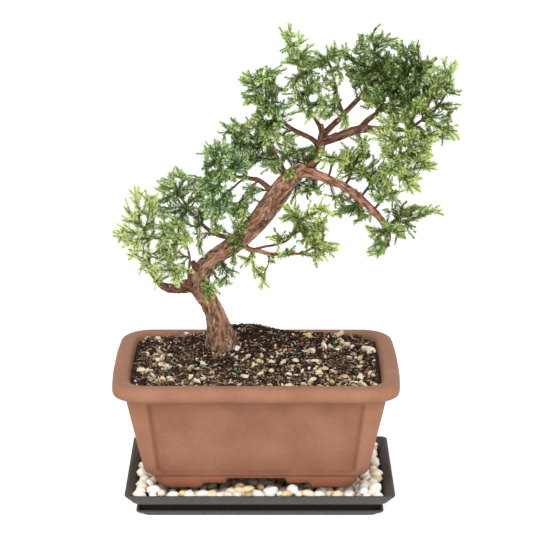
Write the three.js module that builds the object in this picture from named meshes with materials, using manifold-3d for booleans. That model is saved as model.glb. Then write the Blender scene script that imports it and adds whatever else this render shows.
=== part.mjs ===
// A small juniper bonsai: a twisted trunk with branches and foliage, in a footed clay pot full of soil,
// standing on a bed of pebbles in a shallow drip tray. Millimetres, +Z up, +Y towards the back.
// The origin is the centre of the tray's flat underside.
import * as THREE from 'three';
import { mergeVertices } from 'three/addons/utils/BufferGeometryUtils.js';
import Module from 'manifold-3d';

const wasm = await Module();
wasm.setup();

// ---- driving dimensions ----

const GAP = 0.3;
const CORNER_SEGMENTS = 4;

const TRAY = { halfX: 95.8, halfY: 62, height: 16, corner: 5, lipBottom: 10, lipWidth: 3.5 };
const TRAY_BASE = { halfX: 89, halfY: 56, height: 4.3 };
const TRAY_NECK = { halfX: 85.5, halfY: 52.5 };
const TRAY_WALL = 2.5;

const POT = { halfX: 103.3, halfY: 71, top: 99, corner: 21, shiftX: -2.1 };
const POT_FOOT = { halfX: 71.5, halfY: 47.5, bottom: 18, width: 10, stepHeight: 23 };
const POT_BODY = { bottom: 27, halfX: 79, halfY: 50.5, top: 87, topHalfX: 91.3, topHalfY: 60.5 };
const POT_FLOOR_TOP = 36;
const POT_CAVITY_CORNER = 8;
const PANEL_DEPTH = 1.5;
const DRAIN = { radius: 7, x: 38 };
const SCREEN = { side: 26, thickness: 1, hole: 5, pitch: 8 };

const SOIL_EDGE = 94.5;
const SOIL_MOUND = { at: [-12, 25, 80], radii: [75, 31, 31] };

const TRUNK_SIDES = 12;
const BRANCH_SIDES = 7;

// ---- materials ----

function finish(color, roughness) {
  return new THREE.MeshStandardMaterial({ color, roughness, metalness: 0 });
}

const TRAY_PLASTIC = finish(0x57504e, 0.5);
const CLAY = finish(0xa8765f, 0.8);
const SCREEN_PLASTIC = finish(0x1d1d1d, 0.6);
const SOIL_MIX = finish(0x4a3629, 1.0);
const PEBBLE = finish(0xf0ead6, 0.45);
const GRIT = finish(0xcdbb97, 0.85);
const BARK = finish(0x7b5643, 0.9);
const YOUNG_BARK = finish(0xa5714f, 0.85);
const NEEDLES = finish(0x587536, 0.75);

// ---- solids ----

// Turns a closed three.js geometry into a solid that can be joined and cut.
function solid(geometry) {
  const bare = geometry.clone();
  bare.deleteAttribute('normal');
  bare.deleteAttribute('uv');
  const merged = mergeVertices(bare, 1e-4);
  const vertProperties = new Float32Array(merged.attributes.position.array);
  const triVerts = new Uint32Array(merged.index.array);
  return new wasm.Manifold(new wasm.Mesh({ numProp: 3, vertProperties, triVerts }));
}

// The largest single body of a solid, as a geometry.
function geometryOf(body) {
  const pieces = body.decompose();
  pieces.sort((a, b) => b.volume() - a.volume());
  const mesh = pieces[0].getMesh();
  const geometry = new THREE.BufferGeometry();
  geometry.setAttribute('position', new THREE.BufferAttribute(mesh.vertProperties, 3));
  geometry.setIndex(new THREE.BufferAttribute(mesh.triVerts, 1));
  geometry.computeVertexNormals();
  return geometry;
}

function box(low, high) {
  const size = high.map((value, axis) => value - low[axis]);
  const geometry = new THREE.BoxGeometry(...size);
  geometry.translate(...low.map((value, axis) => value + size[axis] / 2));
  return solid(geometry);
}

function ellipsoid([x, y, z], [radiusX, radiusY, radiusZ], detail = 1) {
  const geometry = new THREE.OctahedronGeometry(1, detail);
  geometry.scale(radiusX, radiusY, radiusZ);
  geometry.translate(x, y, z);
  return solid(geometry);
}

// A rounded rectangle carried upwards: each ring is [height, half length, half width].
function loft(rings, corner) {
  const [, baseX, baseY] = rings[0];
  const outline = new THREE.Shape();
  outline.moveTo(baseX, corner - baseY);
  outline.absarc(baseX - corner, baseY - corner, corner, 0, Math.PI / 2);
  outline.absarc(corner - baseX, baseY - corner, corner, Math.PI / 2, Math.PI);
  outline.absarc(corner - baseX, corner - baseY, corner, Math.PI, 1.5 * Math.PI);
  outline.absarc(baseX - corner, corner - baseY, corner, 1.5 * Math.PI, 2 * Math.PI);
  const steps = rings.length - 1;
  const settings = { depth: steps, steps, bevelEnabled: false, curveSegments: CORNER_SEGMENTS };
  const geometry = new THREE.ExtrudeGeometry(outline, settings);
  const points = geometry.attributes.position;
  for (let i = 0; i < points.count; i += 1) {
    const [height, halfX, halfY] = rings[Math.round(points.getZ(i))];
    points.setXYZ(i, points.getX(i) * halfX / baseX, points.getY(i) * halfY / baseY, height);
  }
  return solid(geometry);
}

// A round limb along a smooth curve: each point is [x, y, z, radius], and grow thickens it all over.
function limb(points, sides, grow = 0) {
  const THIN = 0.1;
  const curve = new THREE.CatmullRomCurve3(points.map(([x, y, z]) => new THREE.Vector3(x, y, z)));
  const lengths = curve.getLengths(200);
  const total = lengths[200];
  const knots = points.map((_, i) => lengths[Math.round(200 * i / (points.length - 1))] / total);
  const radiusAt = (t) => {
    const next = Math.max(1, knots.findIndex((knot) => knot >= t - 1e-6));
    const share = (t - knots[next - 1]) / (knots[next] - knots[next - 1]);
    return THREE.MathUtils.lerp(points[next - 1][3], points[next][3], share);
  };
  const steps = Math.max(3, Math.round(points.length * 1.2));
  const section = new THREE.Shape();
  for (let side = 0; side < sides; side += 1) {
    const turn = 2 * Math.PI * side / sides;
    section[side === 0 ? 'moveTo' : 'lineTo'](THIN * Math.cos(turn), THIN * Math.sin(turn));
  }
  const settings = { steps, extrudePath: curve, bevelEnabled: false };
  const geometry = new THREE.ExtrudeGeometry(section, settings);
  const centres = curve.getSpacedPoints(steps);
  const places = geometry.attributes.position;
  const place = new THREE.Vector3();
  for (let i = 0; i < places.count; i += 1) {
    place.fromBufferAttribute(places, i);
    const gaps = centres.map((centre) => centre.distanceTo(place));
    const step = gaps.indexOf(Math.min(...gaps));
    place.sub(centres[step]).setLength(radiusAt(step / steps) + grow).add(centres[step]);
    places.setXYZ(i, place.x, place.y, place.z);
  }
  return solid(geometry);
}

const model = new THREE.Group();

function add(name, body, material, place = [0, 0, 0]) {
  const mesh = new THREE.Mesh(geometryOf(body), material);
  mesh.name = name;
  mesh.position.set(...place);
  model.add(mesh);
}

// ---- drip tray ----

function dripTray() {
  const wellX = TRAY_NECK.halfX - TRAY_WALL;
  const wellY = TRAY_NECK.halfY - TRAY_WALL;
  const outside = loft([
    [0, TRAY_BASE.halfX - 1.5, TRAY_BASE.halfY - 1.5],
    [1.5, TRAY_BASE.halfX, TRAY_BASE.halfY],
    [TRAY_BASE.height, TRAY_BASE.halfX, TRAY_BASE.halfY],
    [TRAY_BASE.height + 0.5, TRAY_NECK.halfX, TRAY_NECK.halfY],
    [TRAY.lipBottom - 0.5, TRAY_NECK.halfX, TRAY_NECK.halfY],
    [TRAY.lipBottom, TRAY_BASE.halfX + 1, TRAY_BASE.halfY],
    [TRAY.height - 0.7, TRAY.halfX, TRAY.halfY],
    [TRAY.height, TRAY.halfX, TRAY.halfY],
  ], TRAY.corner);
  const inside = loft([
    [TRAY_WALL, wellX - 3, wellY - 3],
    [TRAY.lipBottom - 0.2, wellX, wellY],
    [TRAY.lipBottom + 1, wellX + 4.5, wellY + 3.7],
    [TRAY.height + 1, TRAY.halfX - TRAY.lipWidth, TRAY.halfY - TRAY.lipWidth],
  ], TRAY.corner - 1);
  return outside.subtract(inside);
}

// ---- pebbles ----

const BED_LEDGE = 12;

// Loose pebbles on the bed's ledge round the pot: [x, y], [radii], turn about Z in degrees.
const LOOSE_PEBBLES = [
  [[-80, -48], [5.2, 4.4, 3.3], 20],
  [[-62, -51.5], [4.8, 3.6, 3], -10],
  [[-41, -51.5], [5.2, 3.7, 3.2], 0],
  [[-19, -51.5], [4.4, 3.7, 3.2], 15],
  [[3, -51.5], [5.6, 3.7, 3], 5],
  [[26, -51.5], [4.8, 3.7, 3.2], -10],
  [[48, -51.5], [5.4, 3.7, 3], 5],
  [[68, -51], [4.8, 3.8, 3.2], 10],
  [[82, -40], [4.8, 5.4, 3.3], 0],
  [[82.5, -18], [4.4, 5.6, 3.3], 10],
  [[82, 6], [4.8, 5, 3.4], -15],
  [[82, 32], [4.8, 5.2, 3.3], 12],
  [[-82, -24], [4.8, 5.4, 3.3], -10],
  [[-82.5, 3], [4.6, 5, 3.4], 20],
  [[-82, 31], [4.8, 5.4, 3.3], 0],
  [[0, 51.5], [5.4, 3.7, 3.2], 0],
];

function pebble(radii, turn) {
  const geometry = new THREE.IcosahedronGeometry(1, 1);
  geometry.scale(...radii);
  geometry.rotateZ(THREE.MathUtils.degToRad(turn));
  return solid(geometry);
}

function pebbleBed() {
  const wellX = TRAY_NECK.halfX - TRAY_WALL - GAP;
  const wellY = TRAY_NECK.halfY - TRAY_WALL - GAP;
  const layer = loft([
    [TRAY_WALL + GAP, wellX - 3.2, wellY - 3.2],
    [TRAY.lipBottom, wellX, wellY],
    [BED_LEDGE - 0.6, wellX + 4, wellY + 3.2],
    [BED_LEDGE, wellX + 4.5, wellY + 3.7],
  ], TRAY.corner - 1);
  const plinth = loft([
    [TRAY_WALL + 1, 74, 44],
    [BED_LEDGE, 74, 44],
    [POT_FOOT.bottom - GAP, 72.5, 45.5],
  ], TRAY.corner);
  return layer.add(plinth);
}

// ---- pot ----

const CAVITY_RINGS = [
  [POT_FLOOR_TOP, 70, 41],
  [POT_BODY.top, 84, 53],
  [POT.top, 88.5, 57.8],
];

// One recessed panel, a trapezium lying in a sloping wall.
function panelCutter(topHalf, bottomHalf, wallTop, wallBottom) {
  const low = POT_BODY.bottom + 6;
  const high = POT_BODY.top - 3;
  const outline = new THREE.Shape();
  outline.moveTo(-bottomHalf, 0);
  outline.lineTo(bottomHalf, 0);
  outline.lineTo(topHalf, high - low);
  outline.lineTo(-topHalf, high - low);
  const geometry = new THREE.ExtrudeGeometry(outline, { depth: 8, steps: 1, bevelEnabled: false });
  geometry.rotateX(Math.PI / 2);
  const slope = (wallTop - wallBottom) / (POT_BODY.top - POT_BODY.bottom);
  geometry.rotateX(Math.atan(slope));
  geometry.translate(0, -(wallBottom + slope * (low - POT_BODY.bottom)) + PANEL_DEPTH, low);
  return geometry;
}

function footSkirt() {
  const { halfX, halfY, bottom, width, stepHeight } = POT_FOOT;
  const outside = loft([[bottom, halfX, halfY], [POT_BODY.bottom + 0.5, halfX + 1.5, halfY + 0.5]], 9);
  const insideRings = [[bottom - 1, halfX - width, halfY - width], [POT_BODY.bottom, halfX - width, halfY - width]];
  let skirt = outside.subtract(loft(insideRings, 4));
  for (const [half, top] of [[22, POT_BODY.bottom], [40, stepHeight]]) {
    skirt = skirt.subtract(box([-half, -POT.halfY, bottom - 1], [half, POT.halfY, top]));
    skirt = skirt.subtract(box([-POT.halfX, -half / 2, bottom - 1], [POT.halfX, half / 2, top]));
  }
  return skirt;
}

function clayPot() {
  let pot = loft([
    [POT_BODY.bottom, POT_BODY.halfX - 3.5, POT_BODY.halfY - 2],
    [POT_BODY.bottom + 2, POT_BODY.halfX, POT_BODY.halfY],
    [POT_BODY.top, POT_BODY.topHalfX, POT_BODY.topHalfY],
    [POT_BODY.top + 1, POT_BODY.topHalfX + 6, POT_BODY.topHalfY + 5],
    [POT_BODY.top + 4, POT.halfX - 0.6, POT.halfY - 0.6],
    [POT.top - 3, POT.halfX, POT.halfY],
    [POT.top - 0.7, POT.halfX - 1.5, POT.halfY - 1.5],
    [POT.top, POT.halfX - 4, POT.halfY - 4],
  ], POT.corner * POT_BODY.halfX / POT.halfX);
  for (const turn of [0, Math.PI]) {
    const front = panelCutter(76, 70, POT_BODY.topHalfY, POT_BODY.halfY);
    const side = panelCutter(45, 40, POT_BODY.topHalfX, POT_BODY.halfX);
    pot = pot.subtract(solid(front.rotateZ(turn)));
    pot = pot.subtract(solid(side.rotateZ(turn + Math.PI / 2)));
  }
  pot = pot.add(footSkirt()).subtract(loft(CAVITY_RINGS, POT_CAVITY_CORNER));
  for (const side of [-1, 1]) {
    const drain = new THREE.CylinderGeometry(DRAIN.radius, DRAIN.radius, 20, 16);
    drain.rotateX(Math.PI / 2);
    drain.translate(side * DRAIN.x, 0, POT_FLOOR_TOP - 4);
    pot = pot.subtract(solid(drain));
  }
  return pot;
}

function drainScreen() {
  const half = SCREEN.side / 2;
  let screen = box([-half, -half, 0], [half, half, SCREEN.thickness]);
  for (const x of [-SCREEN.pitch, 0, SCREEN.pitch]) {
    for (const y of [-SCREEN.pitch, 0, SCREEN.pitch]) {
      const reach = SCREEN.hole / 2;
      screen = screen.subtract(box([x - reach, y - reach, -1], [x + reach, y + reach, 2]));
    }
  }
  return screen;
}

// ---- wood ----

// Each limb is a list of [x, y, z, radius] from where it leaves its parent.
const TRUNK = [
  [-28, 21, 82, 9], [-28.5, 20, 93, 15.5], [-28.5, 20, 99, 14], [-28.5, 20, 106, 10.8], [-30.5, 19, 115, 9],
  [-33, 18, 126, 7.6], [-37, 16, 136, 7.1], [-42, 14, 146, 7], [-45, 12, 154, 7],
  [-42.5, 11, 162, 6.8], [-35, 10, 170, 6.5], [-27, 9, 177, 6.3], [-18, 7, 184.5, 6.3],
  [-10, 5, 194, 6.7], [-2.5, 4, 204, 7.1], [4, 3, 213, 7.5], [9.5, 3, 221.5, 7.6],
  [15.5, 4, 229, 7], [23, 5, 235, 5.8], [31, 6, 239, 4.6], [38, 6, 242, 3],
];
const BRANCHES = {
  branch_low_left: [
    [-43.5, 12, 151.5, 6], [-51.5, 8, 152, 5], [-59, 3, 152, 4], [-67, -3, 154, 3],
    [-72.5, -9, 159.5, 2.2], [-77, -15, 169, 1.6],
  ],
  branch_back_left: [
    [-11, 8, 191.5, 2.6], [-20, 13, 188, 2.2], [-28.5, 17, 187.5, 1.9], [-36.5, 20, 190, 1.6],
    [-44.5, 21, 197.5, 1.3],
  ],
  branch_low_right: [
    [-15, 5, 185.5, 2.4], [-8, 0, 182, 2], [0, -4, 181, 1.8], [8, -8, 180, 1.6],
    [16, -12, 181, 1.4], [24, -16, 183, 1.2],
  ],
  branch_left: [
    [5, 0, 228, 2.4], [-1, -4, 233, 2], [-8, -7, 235.5, 1.7], [-16, -11, 237.5, 1.4],
  ],
  branch_inner_left: [
    [19, 6, 234.5, 2.2], [15.5, 11, 240.5, 1.8], [12.5, 14, 246, 1.5], [7.5, 17, 252, 1.3],
  ],
  branch_leader: [
    [23, 7, 234.5, 5], [33, 10, 238.5, 4], [39.5, 12, 244, 3.5], [42.5, 12, 251, 3.3],
    [44, 12, 258.5, 3.3],
  ],
  branch_arch: [
    [27, 5, 237, 4.2], [35, 2, 237.5, 3.8], [43, -2, 236, 3.4], [51, -5, 233.5, 3.1],
    [58.5, -8, 230.5, 3], [66, -10, 226, 2.9], [73.5, -13, 220.5, 2.8], [80.5, -15, 214, 2.6],
    [85, -17, 208.5, 2.4], [89, -19, 202.5, 2.2], [91, -20, 196.5, 1.8],
  ],
  branch_right: [
    [43, 12, 257, 3.2], [50, 9, 260.5, 3.1], [57, 6, 263.5, 3], [64, 3, 267, 2.9],
    [72, 0, 270, 2.7], [80, -3, 270, 2.4], [87.5, -6, 271, 2.1], [94.5, -9, 272, 1.8],
    [101.5, -12, 271.5, 1.5],
  ],
  branch_right_back: [
    [71, 1, 270, 2.4], [76.5, 7, 274.5, 2.1], [82.5, 13, 277.5, 1.8], [90, 19, 282, 1.5],
  ],
  branch_right_drop: [
    [89.5, -7, 270, 1.8], [94, -14, 266.5, 1.5], [98.5, -20, 261.5, 1.3],
  ],
  branch_crown: [
    [43, 13, 259, 2.8], [47.5, 15, 264.5, 2.4], [53, 18, 269.5, 2.2], [58.5, 20, 274.5, 2],
    [63, 22, 279, 1.9], [68, 24, 284, 1.8], [72.5, 26, 288, 1.6],
  ],
  branch_upper_left: [
    [42.5, 11, 255.5, 2.4], [37, 7, 261, 2], [31, 3, 265, 1.8], [25, -1, 268.5, 1.6],
    [19, -4, 273.5, 1.4],
  ],
  branch_plume: [
    [44, 13, 261, 2], [42, 12, 270.5, 1.7], [37, 9, 279, 1.4], [33.5, 5, 290, 1.2],
  ],
};

// Every limb placed so far, a little thicker than it is, so that a later one is cut clear of it.
let cutter = null;

function addWood(name, points, sides, material) {
  const wood = limb(points, sides);
  add(name, cutter ? wood.subtract(cutter) : wood, material);
  const grown = limb(points, sides, GAP);
  cutter = cutter ? cutter.add(grown) : grown;
}

function addTree() {
  addWood('trunk', TRUNK, TRUNK_SIDES, BARK);
  for (const [name, points] of Object.entries(BRANCHES)) {
    addWood(name, points, BRANCH_SIDES, YOUNG_BARK);
  }
}

// ---- foliage ----

// Each pad is a cluster of [x, y, z], [radii] that touch or meet.
const FOLIAGE = {
  foliage_low_left: [
    [[-84, -20, 197], [17, 17, 15]],
    [[-86, -12, 214], [10, 12, 11]],
    [[-77, -28, 177], [13, 13, 12]],
    [[-62, -20, 170], [12, 14, 10]],
    [[-62, -14, 192], [14, 16, 13]],
  ],
  foliage_back_left: [
    [[-62, 19, 208], [15, 15, 14]],
    [[-63, 24, 224], [11, 12, 11]],
    [[-46, 18, 211], [13, 16, 13]],
    [[-38, 19, 196], [10, 12, 9]],
  ],
  foliage_left: [
    [[-30, -15, 243], [14, 15, 15]],
    [[-29, -12, 226], [12, 13, 12]],
    [[-18, -18, 246], [12, 13, 11]],
  ],
  foliage_inner_left: [
    [[-6, 20, 254], [15, 16, 12]],
    [[5, 18, 260], [11, 14, 10]],
    [[-18, 23, 260], [10, 12, 11]],
  ],
  foliage_upper_left: [
    [[6, -10, 286], [13, 14, 14]],
    [[2, -8, 301], [11, 12, 13]],
    [[12, -9, 275], [10, 12, 9]],
  ],
  foliage_plume: [
    [[36, 3, 286], [12, 13, 11]],
    [[31, 3, 303], [12, 13, 13]],
    [[26, 0, 322], [10, 10, 14]],
    [[19, -5, 337], [7, 7, 9]],
  ],
  foliage_crown_mid: [
    [[53, 8, 292], [9, 10, 10]],
    [[51, 8, 309], [10, 10, 11]],
    [[45, 13, 318], [9, 9, 9]],
  ],
  foliage_crown: [
    [[77, 26, 298], [15, 14, 13]],
    [[70, 30, 311], [14, 14, 13]],
    [[81, 20, 322], [13, 14, 14]],
    [[79, 17, 336], [9, 10, 10]],
  ],
  foliage_right_back: [
    [[97, 27, 289], [15, 17, 14]],
    [[105, 28, 306], [14, 17, 14]],
    [[117, 33, 298], [13, 15, 14]],
    [[106, 32, 319], [11, 12, 9]],
  ],
  foliage_right: [
    [[125, -6, 298], [13, 15, 16]],
    [[122, -14, 280], [16, 15, 12]],
    [[103, -14, 281], [12, 12, 9]],
  ],
  foliage_right_drop: [
    [[103, -31, 262], [17, 13, 12]],
    [[112, -36, 252], [12, 11, 11]],
    [[99, -28, 244], [12, 12, 12]],
  ],
  foliage_arch_top: [
    [[85, -11, 232], [14, 14, 11]],
    [[72, -4, 246], [12, 13, 13]],
    [[56, -10, 250], [11, 12, 8]],
  ],
  foliage_arch_low: [
    [[66, -5, 213], [12, 10, 8]],
    [[56, -4, 217], [9, 9, 7]],
  ],
  foliage_arch_end: [
    [[100, -25, 209], [13, 13, 11]],
    [[115, -30, 216], [11, 10, 8]],
    [[86, -25, 196], [9, 11, 14]],
  ],
  foliage_trunk_top: [
    [[30, 20, 246], [13, 13, 10]],
    [[18, 22, 248], [9, 11, 9]],
  ],
  foliage_low_right: [
    [[31, -20, 205], [12, 12, 12]],
    [[41, -29, 208], [10, 10, 13]],
    [[40, -28, 192], [12, 11, 10]],
    [[22, -18, 192], [9, 9, 9]],
  ],
};

function addFoliage() {
  for (const [name, clumps] of Object.entries(FOLIAGE)) {
    const shape = (grow) => clumps
      .map(([at, radii]) => ellipsoid(at, radii.map((radius) => radius + grow)))
      .reduce((pad, clump) => pad.add(clump));
    add(name, shape(0).subtract(cutter), NEEDLES);
    cutter = cutter.add(shape(GAP));
  }
}

// ---- soil and grit ----

function soilBody() {
  const low = POT_FLOOR_TOP + GAP;
  const mould = loft([
    [low, CAVITY_RINGS[0][1] - GAP, CAVITY_RINGS[0][2] - GAP],
    ...CAVITY_RINGS.slice(1).map(([height, halfX, halfY]) => [height, halfX - GAP, halfY - GAP]),
    [125, CAVITY_RINGS[2][1] - GAP, CAVITY_RINGS[2][2] - GAP],
  ], POT_CAVITY_CORNER);
  const level = box([-POT.halfX, -POT.halfY, 0], [POT.halfX, POT.halfY, SOIL_EDGE]);
  const heap = ellipsoid(SOIL_MOUND.at, SOIL_MOUND.radii, 2);
  const base = TRUNK.map(([x, y, z, radius]) => [x - POT.shiftX, y, z, radius]);
  let soil = mould.intersect(level.add(heap)).subtract(limb(base, TRUNK_SIDES, GAP));
  const half = SCREEN.side / 2 + GAP;
  const top = POT_FLOOR_TOP + SCREEN.thickness + 3 * GAP;
  for (const x of [-DRAIN.x, DRAIN.x]) {
    soil = soil.subtract(box([x - half, -half, 0], [x + half, half, top]));
  }
  return soil;
}

// Larger stones lying on the soil: [x, y], [radii], turn about Z in degrees.
const SOIL_STONES = [
  [[-62, -44], [4.2, 3.2, 2.4], 15],
  [[-38, -48], [3.6, 3, 2.2], 40],
  [[-14, -46], [4.4, 3.4, 2.6], -20],
  [[12, -44], [3.4, 3.8, 2.4], 10],
  [[30, -36], [4, 3, 2.6], 60],
  [[52, -45], [3.8, 3.2, 2.4], -35],
  [[68, -20], [4.2, 3.6, 2.6], 25],
  [[60, 8], [3.6, 3.2, 2.4], 5],
];

function soilStone(radii, turn) {
  const geometry = new THREE.DodecahedronGeometry(1, 0);
  geometry.scale(...radii);
  geometry.rotateZ(THREE.MathUtils.degToRad(turn));
  return solid(geometry);
}

// ---- the whole plant ----

add('drip_tray', dripTray(), TRAY_PLASTIC);
add('pebble_bed', pebbleBed(), PEBBLE);
LOOSE_PEBBLES.forEach(([[x, y], radii, turn], index) => {
  const place = [x, y, BED_LEDGE + GAP + radii[2]];
  add(`pebble_${index + 1}`, pebble(radii, turn), PEBBLE, place);
});
add('pot', clayPot(), CLAY, [POT.shiftX, 0, 0]);
for (const [name, x] of [['drain_screen_left', -DRAIN.x], ['drain_screen_right', DRAIN.x]]) {
  add(name, drainScreen(), SCREEN_PLASTIC, [x + POT.shiftX, 0, POT_FLOOR_TOP + GAP]);
}
addTree();
add('soil', soilBody(), SOIL_MIX, [POT.shiftX, 0, 0]);
SOIL_STONES.forEach(([[x, y], radii, turn], index) => {
  const place = [x, y, SOIL_EDGE + GAP + radii[2]];
  add(`soil_stone_${index + 1}`, soilStone(radii, turn), GRIT, place);
});
addFoliage();

export default model;
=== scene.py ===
# %% [markdown]
# # A juniper bonsai in its clay pot
# The plant is built from the ground up: drip tray, pebbles, pot, soil, wood and needles. Each piece takes its
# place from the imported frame, in millimetres, and is turned into metres when its mesh is made.

import math

import bpy
import numpy as np
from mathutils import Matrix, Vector


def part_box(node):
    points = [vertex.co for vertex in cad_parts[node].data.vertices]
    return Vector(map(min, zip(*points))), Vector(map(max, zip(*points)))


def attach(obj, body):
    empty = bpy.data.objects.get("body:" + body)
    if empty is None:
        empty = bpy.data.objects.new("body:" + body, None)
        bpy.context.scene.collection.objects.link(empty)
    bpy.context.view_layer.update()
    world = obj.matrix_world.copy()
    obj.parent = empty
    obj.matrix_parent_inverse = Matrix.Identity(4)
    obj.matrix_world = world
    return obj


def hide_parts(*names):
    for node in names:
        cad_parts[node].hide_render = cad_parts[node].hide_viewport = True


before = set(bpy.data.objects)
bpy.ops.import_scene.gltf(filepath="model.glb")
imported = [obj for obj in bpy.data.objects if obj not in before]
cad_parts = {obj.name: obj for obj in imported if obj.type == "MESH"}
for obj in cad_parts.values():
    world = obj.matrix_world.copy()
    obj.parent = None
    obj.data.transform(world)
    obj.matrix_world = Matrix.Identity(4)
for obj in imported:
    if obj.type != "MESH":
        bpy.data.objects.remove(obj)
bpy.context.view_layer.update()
MM = 0.001

# %% [markdown]
# ## The camera
# A long lens from a little over one and a half metres away keeps the pot's sides nearly parallel, and a
# downward tilt of sixteen degrees shows the soil inside the rim. It stands in front of the pot's long side.

# %% Camera
CAMERA_AT = np.array([4.7, -1519.0, 604.6])
CAMERA_TILT = math.radians(16.01)
LENS = 148.6

camera_data = bpy.data.cameras.new("camera")
camera_data.lens = LENS
camera_data.sensor_width = 36
camera_data.clip_end = 60
camera = bpy.data.objects.new("camera", camera_data)
camera.location = CAMERA_AT * MM
camera.rotation_euler = (math.pi / 2 - CAMERA_TILT, 0, 0)
bpy.context.scene.collection.objects.link(camera)
bpy.context.scene.camera = camera
print("camera at", tuple(camera.location))

# %% [markdown]
# ## Floor and light
# A potted plant is shown best in a bright white studio: a very large soft sky lights it from everywhere, and
# broad lamps above, to the right and low in front give the needles and the clay a lit side. The floor is
# plain, and glows a little so that it stays pale under the tray.

# %% Floor, sky and lamps
FLOOR_REACH = 30.0


def pale_floor():
    """One flat square, far larger than the view, at the height of the tray's underside."""
    corners = [(x * FLOOR_REACH, y * FLOOR_REACH, 0) for x, y in ((-1, -1), (1, -1), (1, 1), (-1, 1))]
    mesh = bpy.data.meshes.new("floor")
    mesh.from_pydata(corners, [], [(0, 1, 2, 3)])
    floor = bpy.data.objects.new("floor", mesh)
    bpy.context.scene.collection.objects.link(floor)
    paint = bpy.data.materials.new("pale_floor")
    paint.use_nodes = True
    inputs = paint.node_tree.nodes["Principled BSDF"].inputs
    inputs["Base Color"].default_value = (0.5, 0.5, 0.5, 1)
    inputs["Emission Color"].default_value = (1, 1, 1, 1)
    inputs["Emission Strength"].default_value = 0.7
    inputs["Roughness"].default_value = 0.9
    mesh.materials.append(paint)


def soft_lamp(name, at, aim, side, watts):
    """A square area lamp of the given side, in metres, turned from its place towards the aim."""
    data = bpy.data.lights.new(name, "AREA")
    data.energy = watts
    data.shape = "SQUARE"
    data.size = side
    lamp = bpy.data.objects.new(name, data)
    lamp.location = at
    lamp.rotation_euler = (Vector(aim) - Vector(at)).to_track_quat("-Z", "Y").to_euler()
    bpy.context.scene.collection.objects.link(lamp)


pale_floor()
sky = bpy.data.worlds.new("studio")
sky.use_nodes = True
sky.node_tree.nodes["Background"].inputs["Color"].default_value = (1, 1, 1, 1)
sky.node_tree.nodes["Background"].inputs["Strength"].default_value = 1.0
bpy.context.scene.world = sky
soft_lamp("key", (-0.9, -1.2, 1.7), (0, 0, 0.2), 1.1, 16.5)
soft_lamp("fill", (1.4, -0.9, 0.9), (0, 0, 0.15), 1.3, 5)
soft_lamp("low", (0.1, -1.6, 0.35), (0, 0, 0.05), 0.9, 7)
bpy.context.scene.view_settings.view_transform = "Standard"

# %% [markdown]
# ## Shared tools
# Every piece is a set of points and faces worked out as whole arrays. Two kinds of shape come back again and
# again: a stack of rings joined into a skin, and one small shape copied to many places.

# %% A mesh from arrays


def make_piece(name, points, face_sets, material, nodes=(), smooth=True, tones=None):
    """Turns points in millimetres and arrays of faces into an object that rides on the plant's one body."""
    sizes = np.concatenate([np.full(len(faces), faces.shape[1]) for faces in face_sets])
    corners = np.concatenate([faces.ravel() for faces in face_sets])
    mesh = bpy.data.meshes.new(name)
    mesh.vertices.add(len(points))
    mesh.loops.add(len(corners))
    mesh.polygons.add(len(sizes))
    mesh.vertices.foreach_set("co", (np.asarray(points) * MM).astype(np.float32).ravel())
    mesh.loops.foreach_set("vertex_index", corners.astype(np.int32))
    mesh.polygons.foreach_set("loop_start", (np.cumsum(sizes) - sizes).astype(np.int32))
    mesh.polygons.foreach_set("use_smooth", np.full(len(sizes), smooth))
    for tone, values in (tones or {}).items():
        mesh.attributes.new(tone, "FLOAT", "POINT").data.foreach_set("value", values.astype(np.float32))
    mesh.update(calc_edges=True)
    mesh.materials.append(material)
    piece = bpy.data.objects.new(name, mesh)
    bpy.context.scene.collection.objects.link(piece)
    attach(piece, "root")
    if nodes:
        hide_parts(*nodes)
    print(f"{name}: {len(points)} points, {int((sizes - 2).sum())} triangles")
    return piece


print("every piece is given in millimetres and built at a scale of", MM)

# %% Faces for rings, and copies of one shape


def skin_faces(rings, around):
    """Quads between each ring of points and the next, going round, with the outside on the right."""
    ring, place = np.meshgrid(np.arange(rings - 1), np.arange(around), indexing="ij")
    low = ring * around + place
    low_next = ring * around + (place + 1) % around
    return np.stack([low, low_next, low_next + around, low + around], -1).reshape(-1, 4)


def fan_faces(first, around, pole, outward_up):
    """Triangles from one ring of points to a single pole."""
    here = first + np.arange(around)
    after = first + (np.arange(around) + 1) % around
    poles = np.full(around, pole)
    order = [here, after, poles] if outward_up else [after, here, poles]
    return np.stack(order, -1)


def copies(shape, faces, places, turns, sizes):
    """The shape scaled by each size, turned by each 3x3 turn and moved to each place, as one set."""
    points = np.einsum("nkj,nji->nki", shape[None] * sizes[:, None], turns) + places[:, None]
    offsets = np.arange(len(places))[:, None, None] * len(shape)
    return points.reshape(-1, 3), (faces[None] + offsets).reshape(-1, faces.shape[1])


def unit(vectors):
    """Each vector divided by its own length."""
    return vectors / np.maximum(np.linalg.norm(vectors, axis=-1, keepdims=True), 1e-9)


def random_turns(random, count, lean=1.0):
    """A turn about an upright axis, then a tilt of up to lean times a quarter turn about a level one."""
    spin = random.uniform(0, 2 * np.pi, count)
    tilt = random.uniform(-0.5, 0.5, count) * np.pi * lean
    way = random.uniform(0, 2 * np.pi, count)
    upright = turn_about(np.array([[0.0, 0.0, 1.0]]), spin)
    level = np.stack([np.cos(way), np.sin(way), np.zeros(count)], -1)
    return upright @ turn_about(level, tilt)


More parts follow.
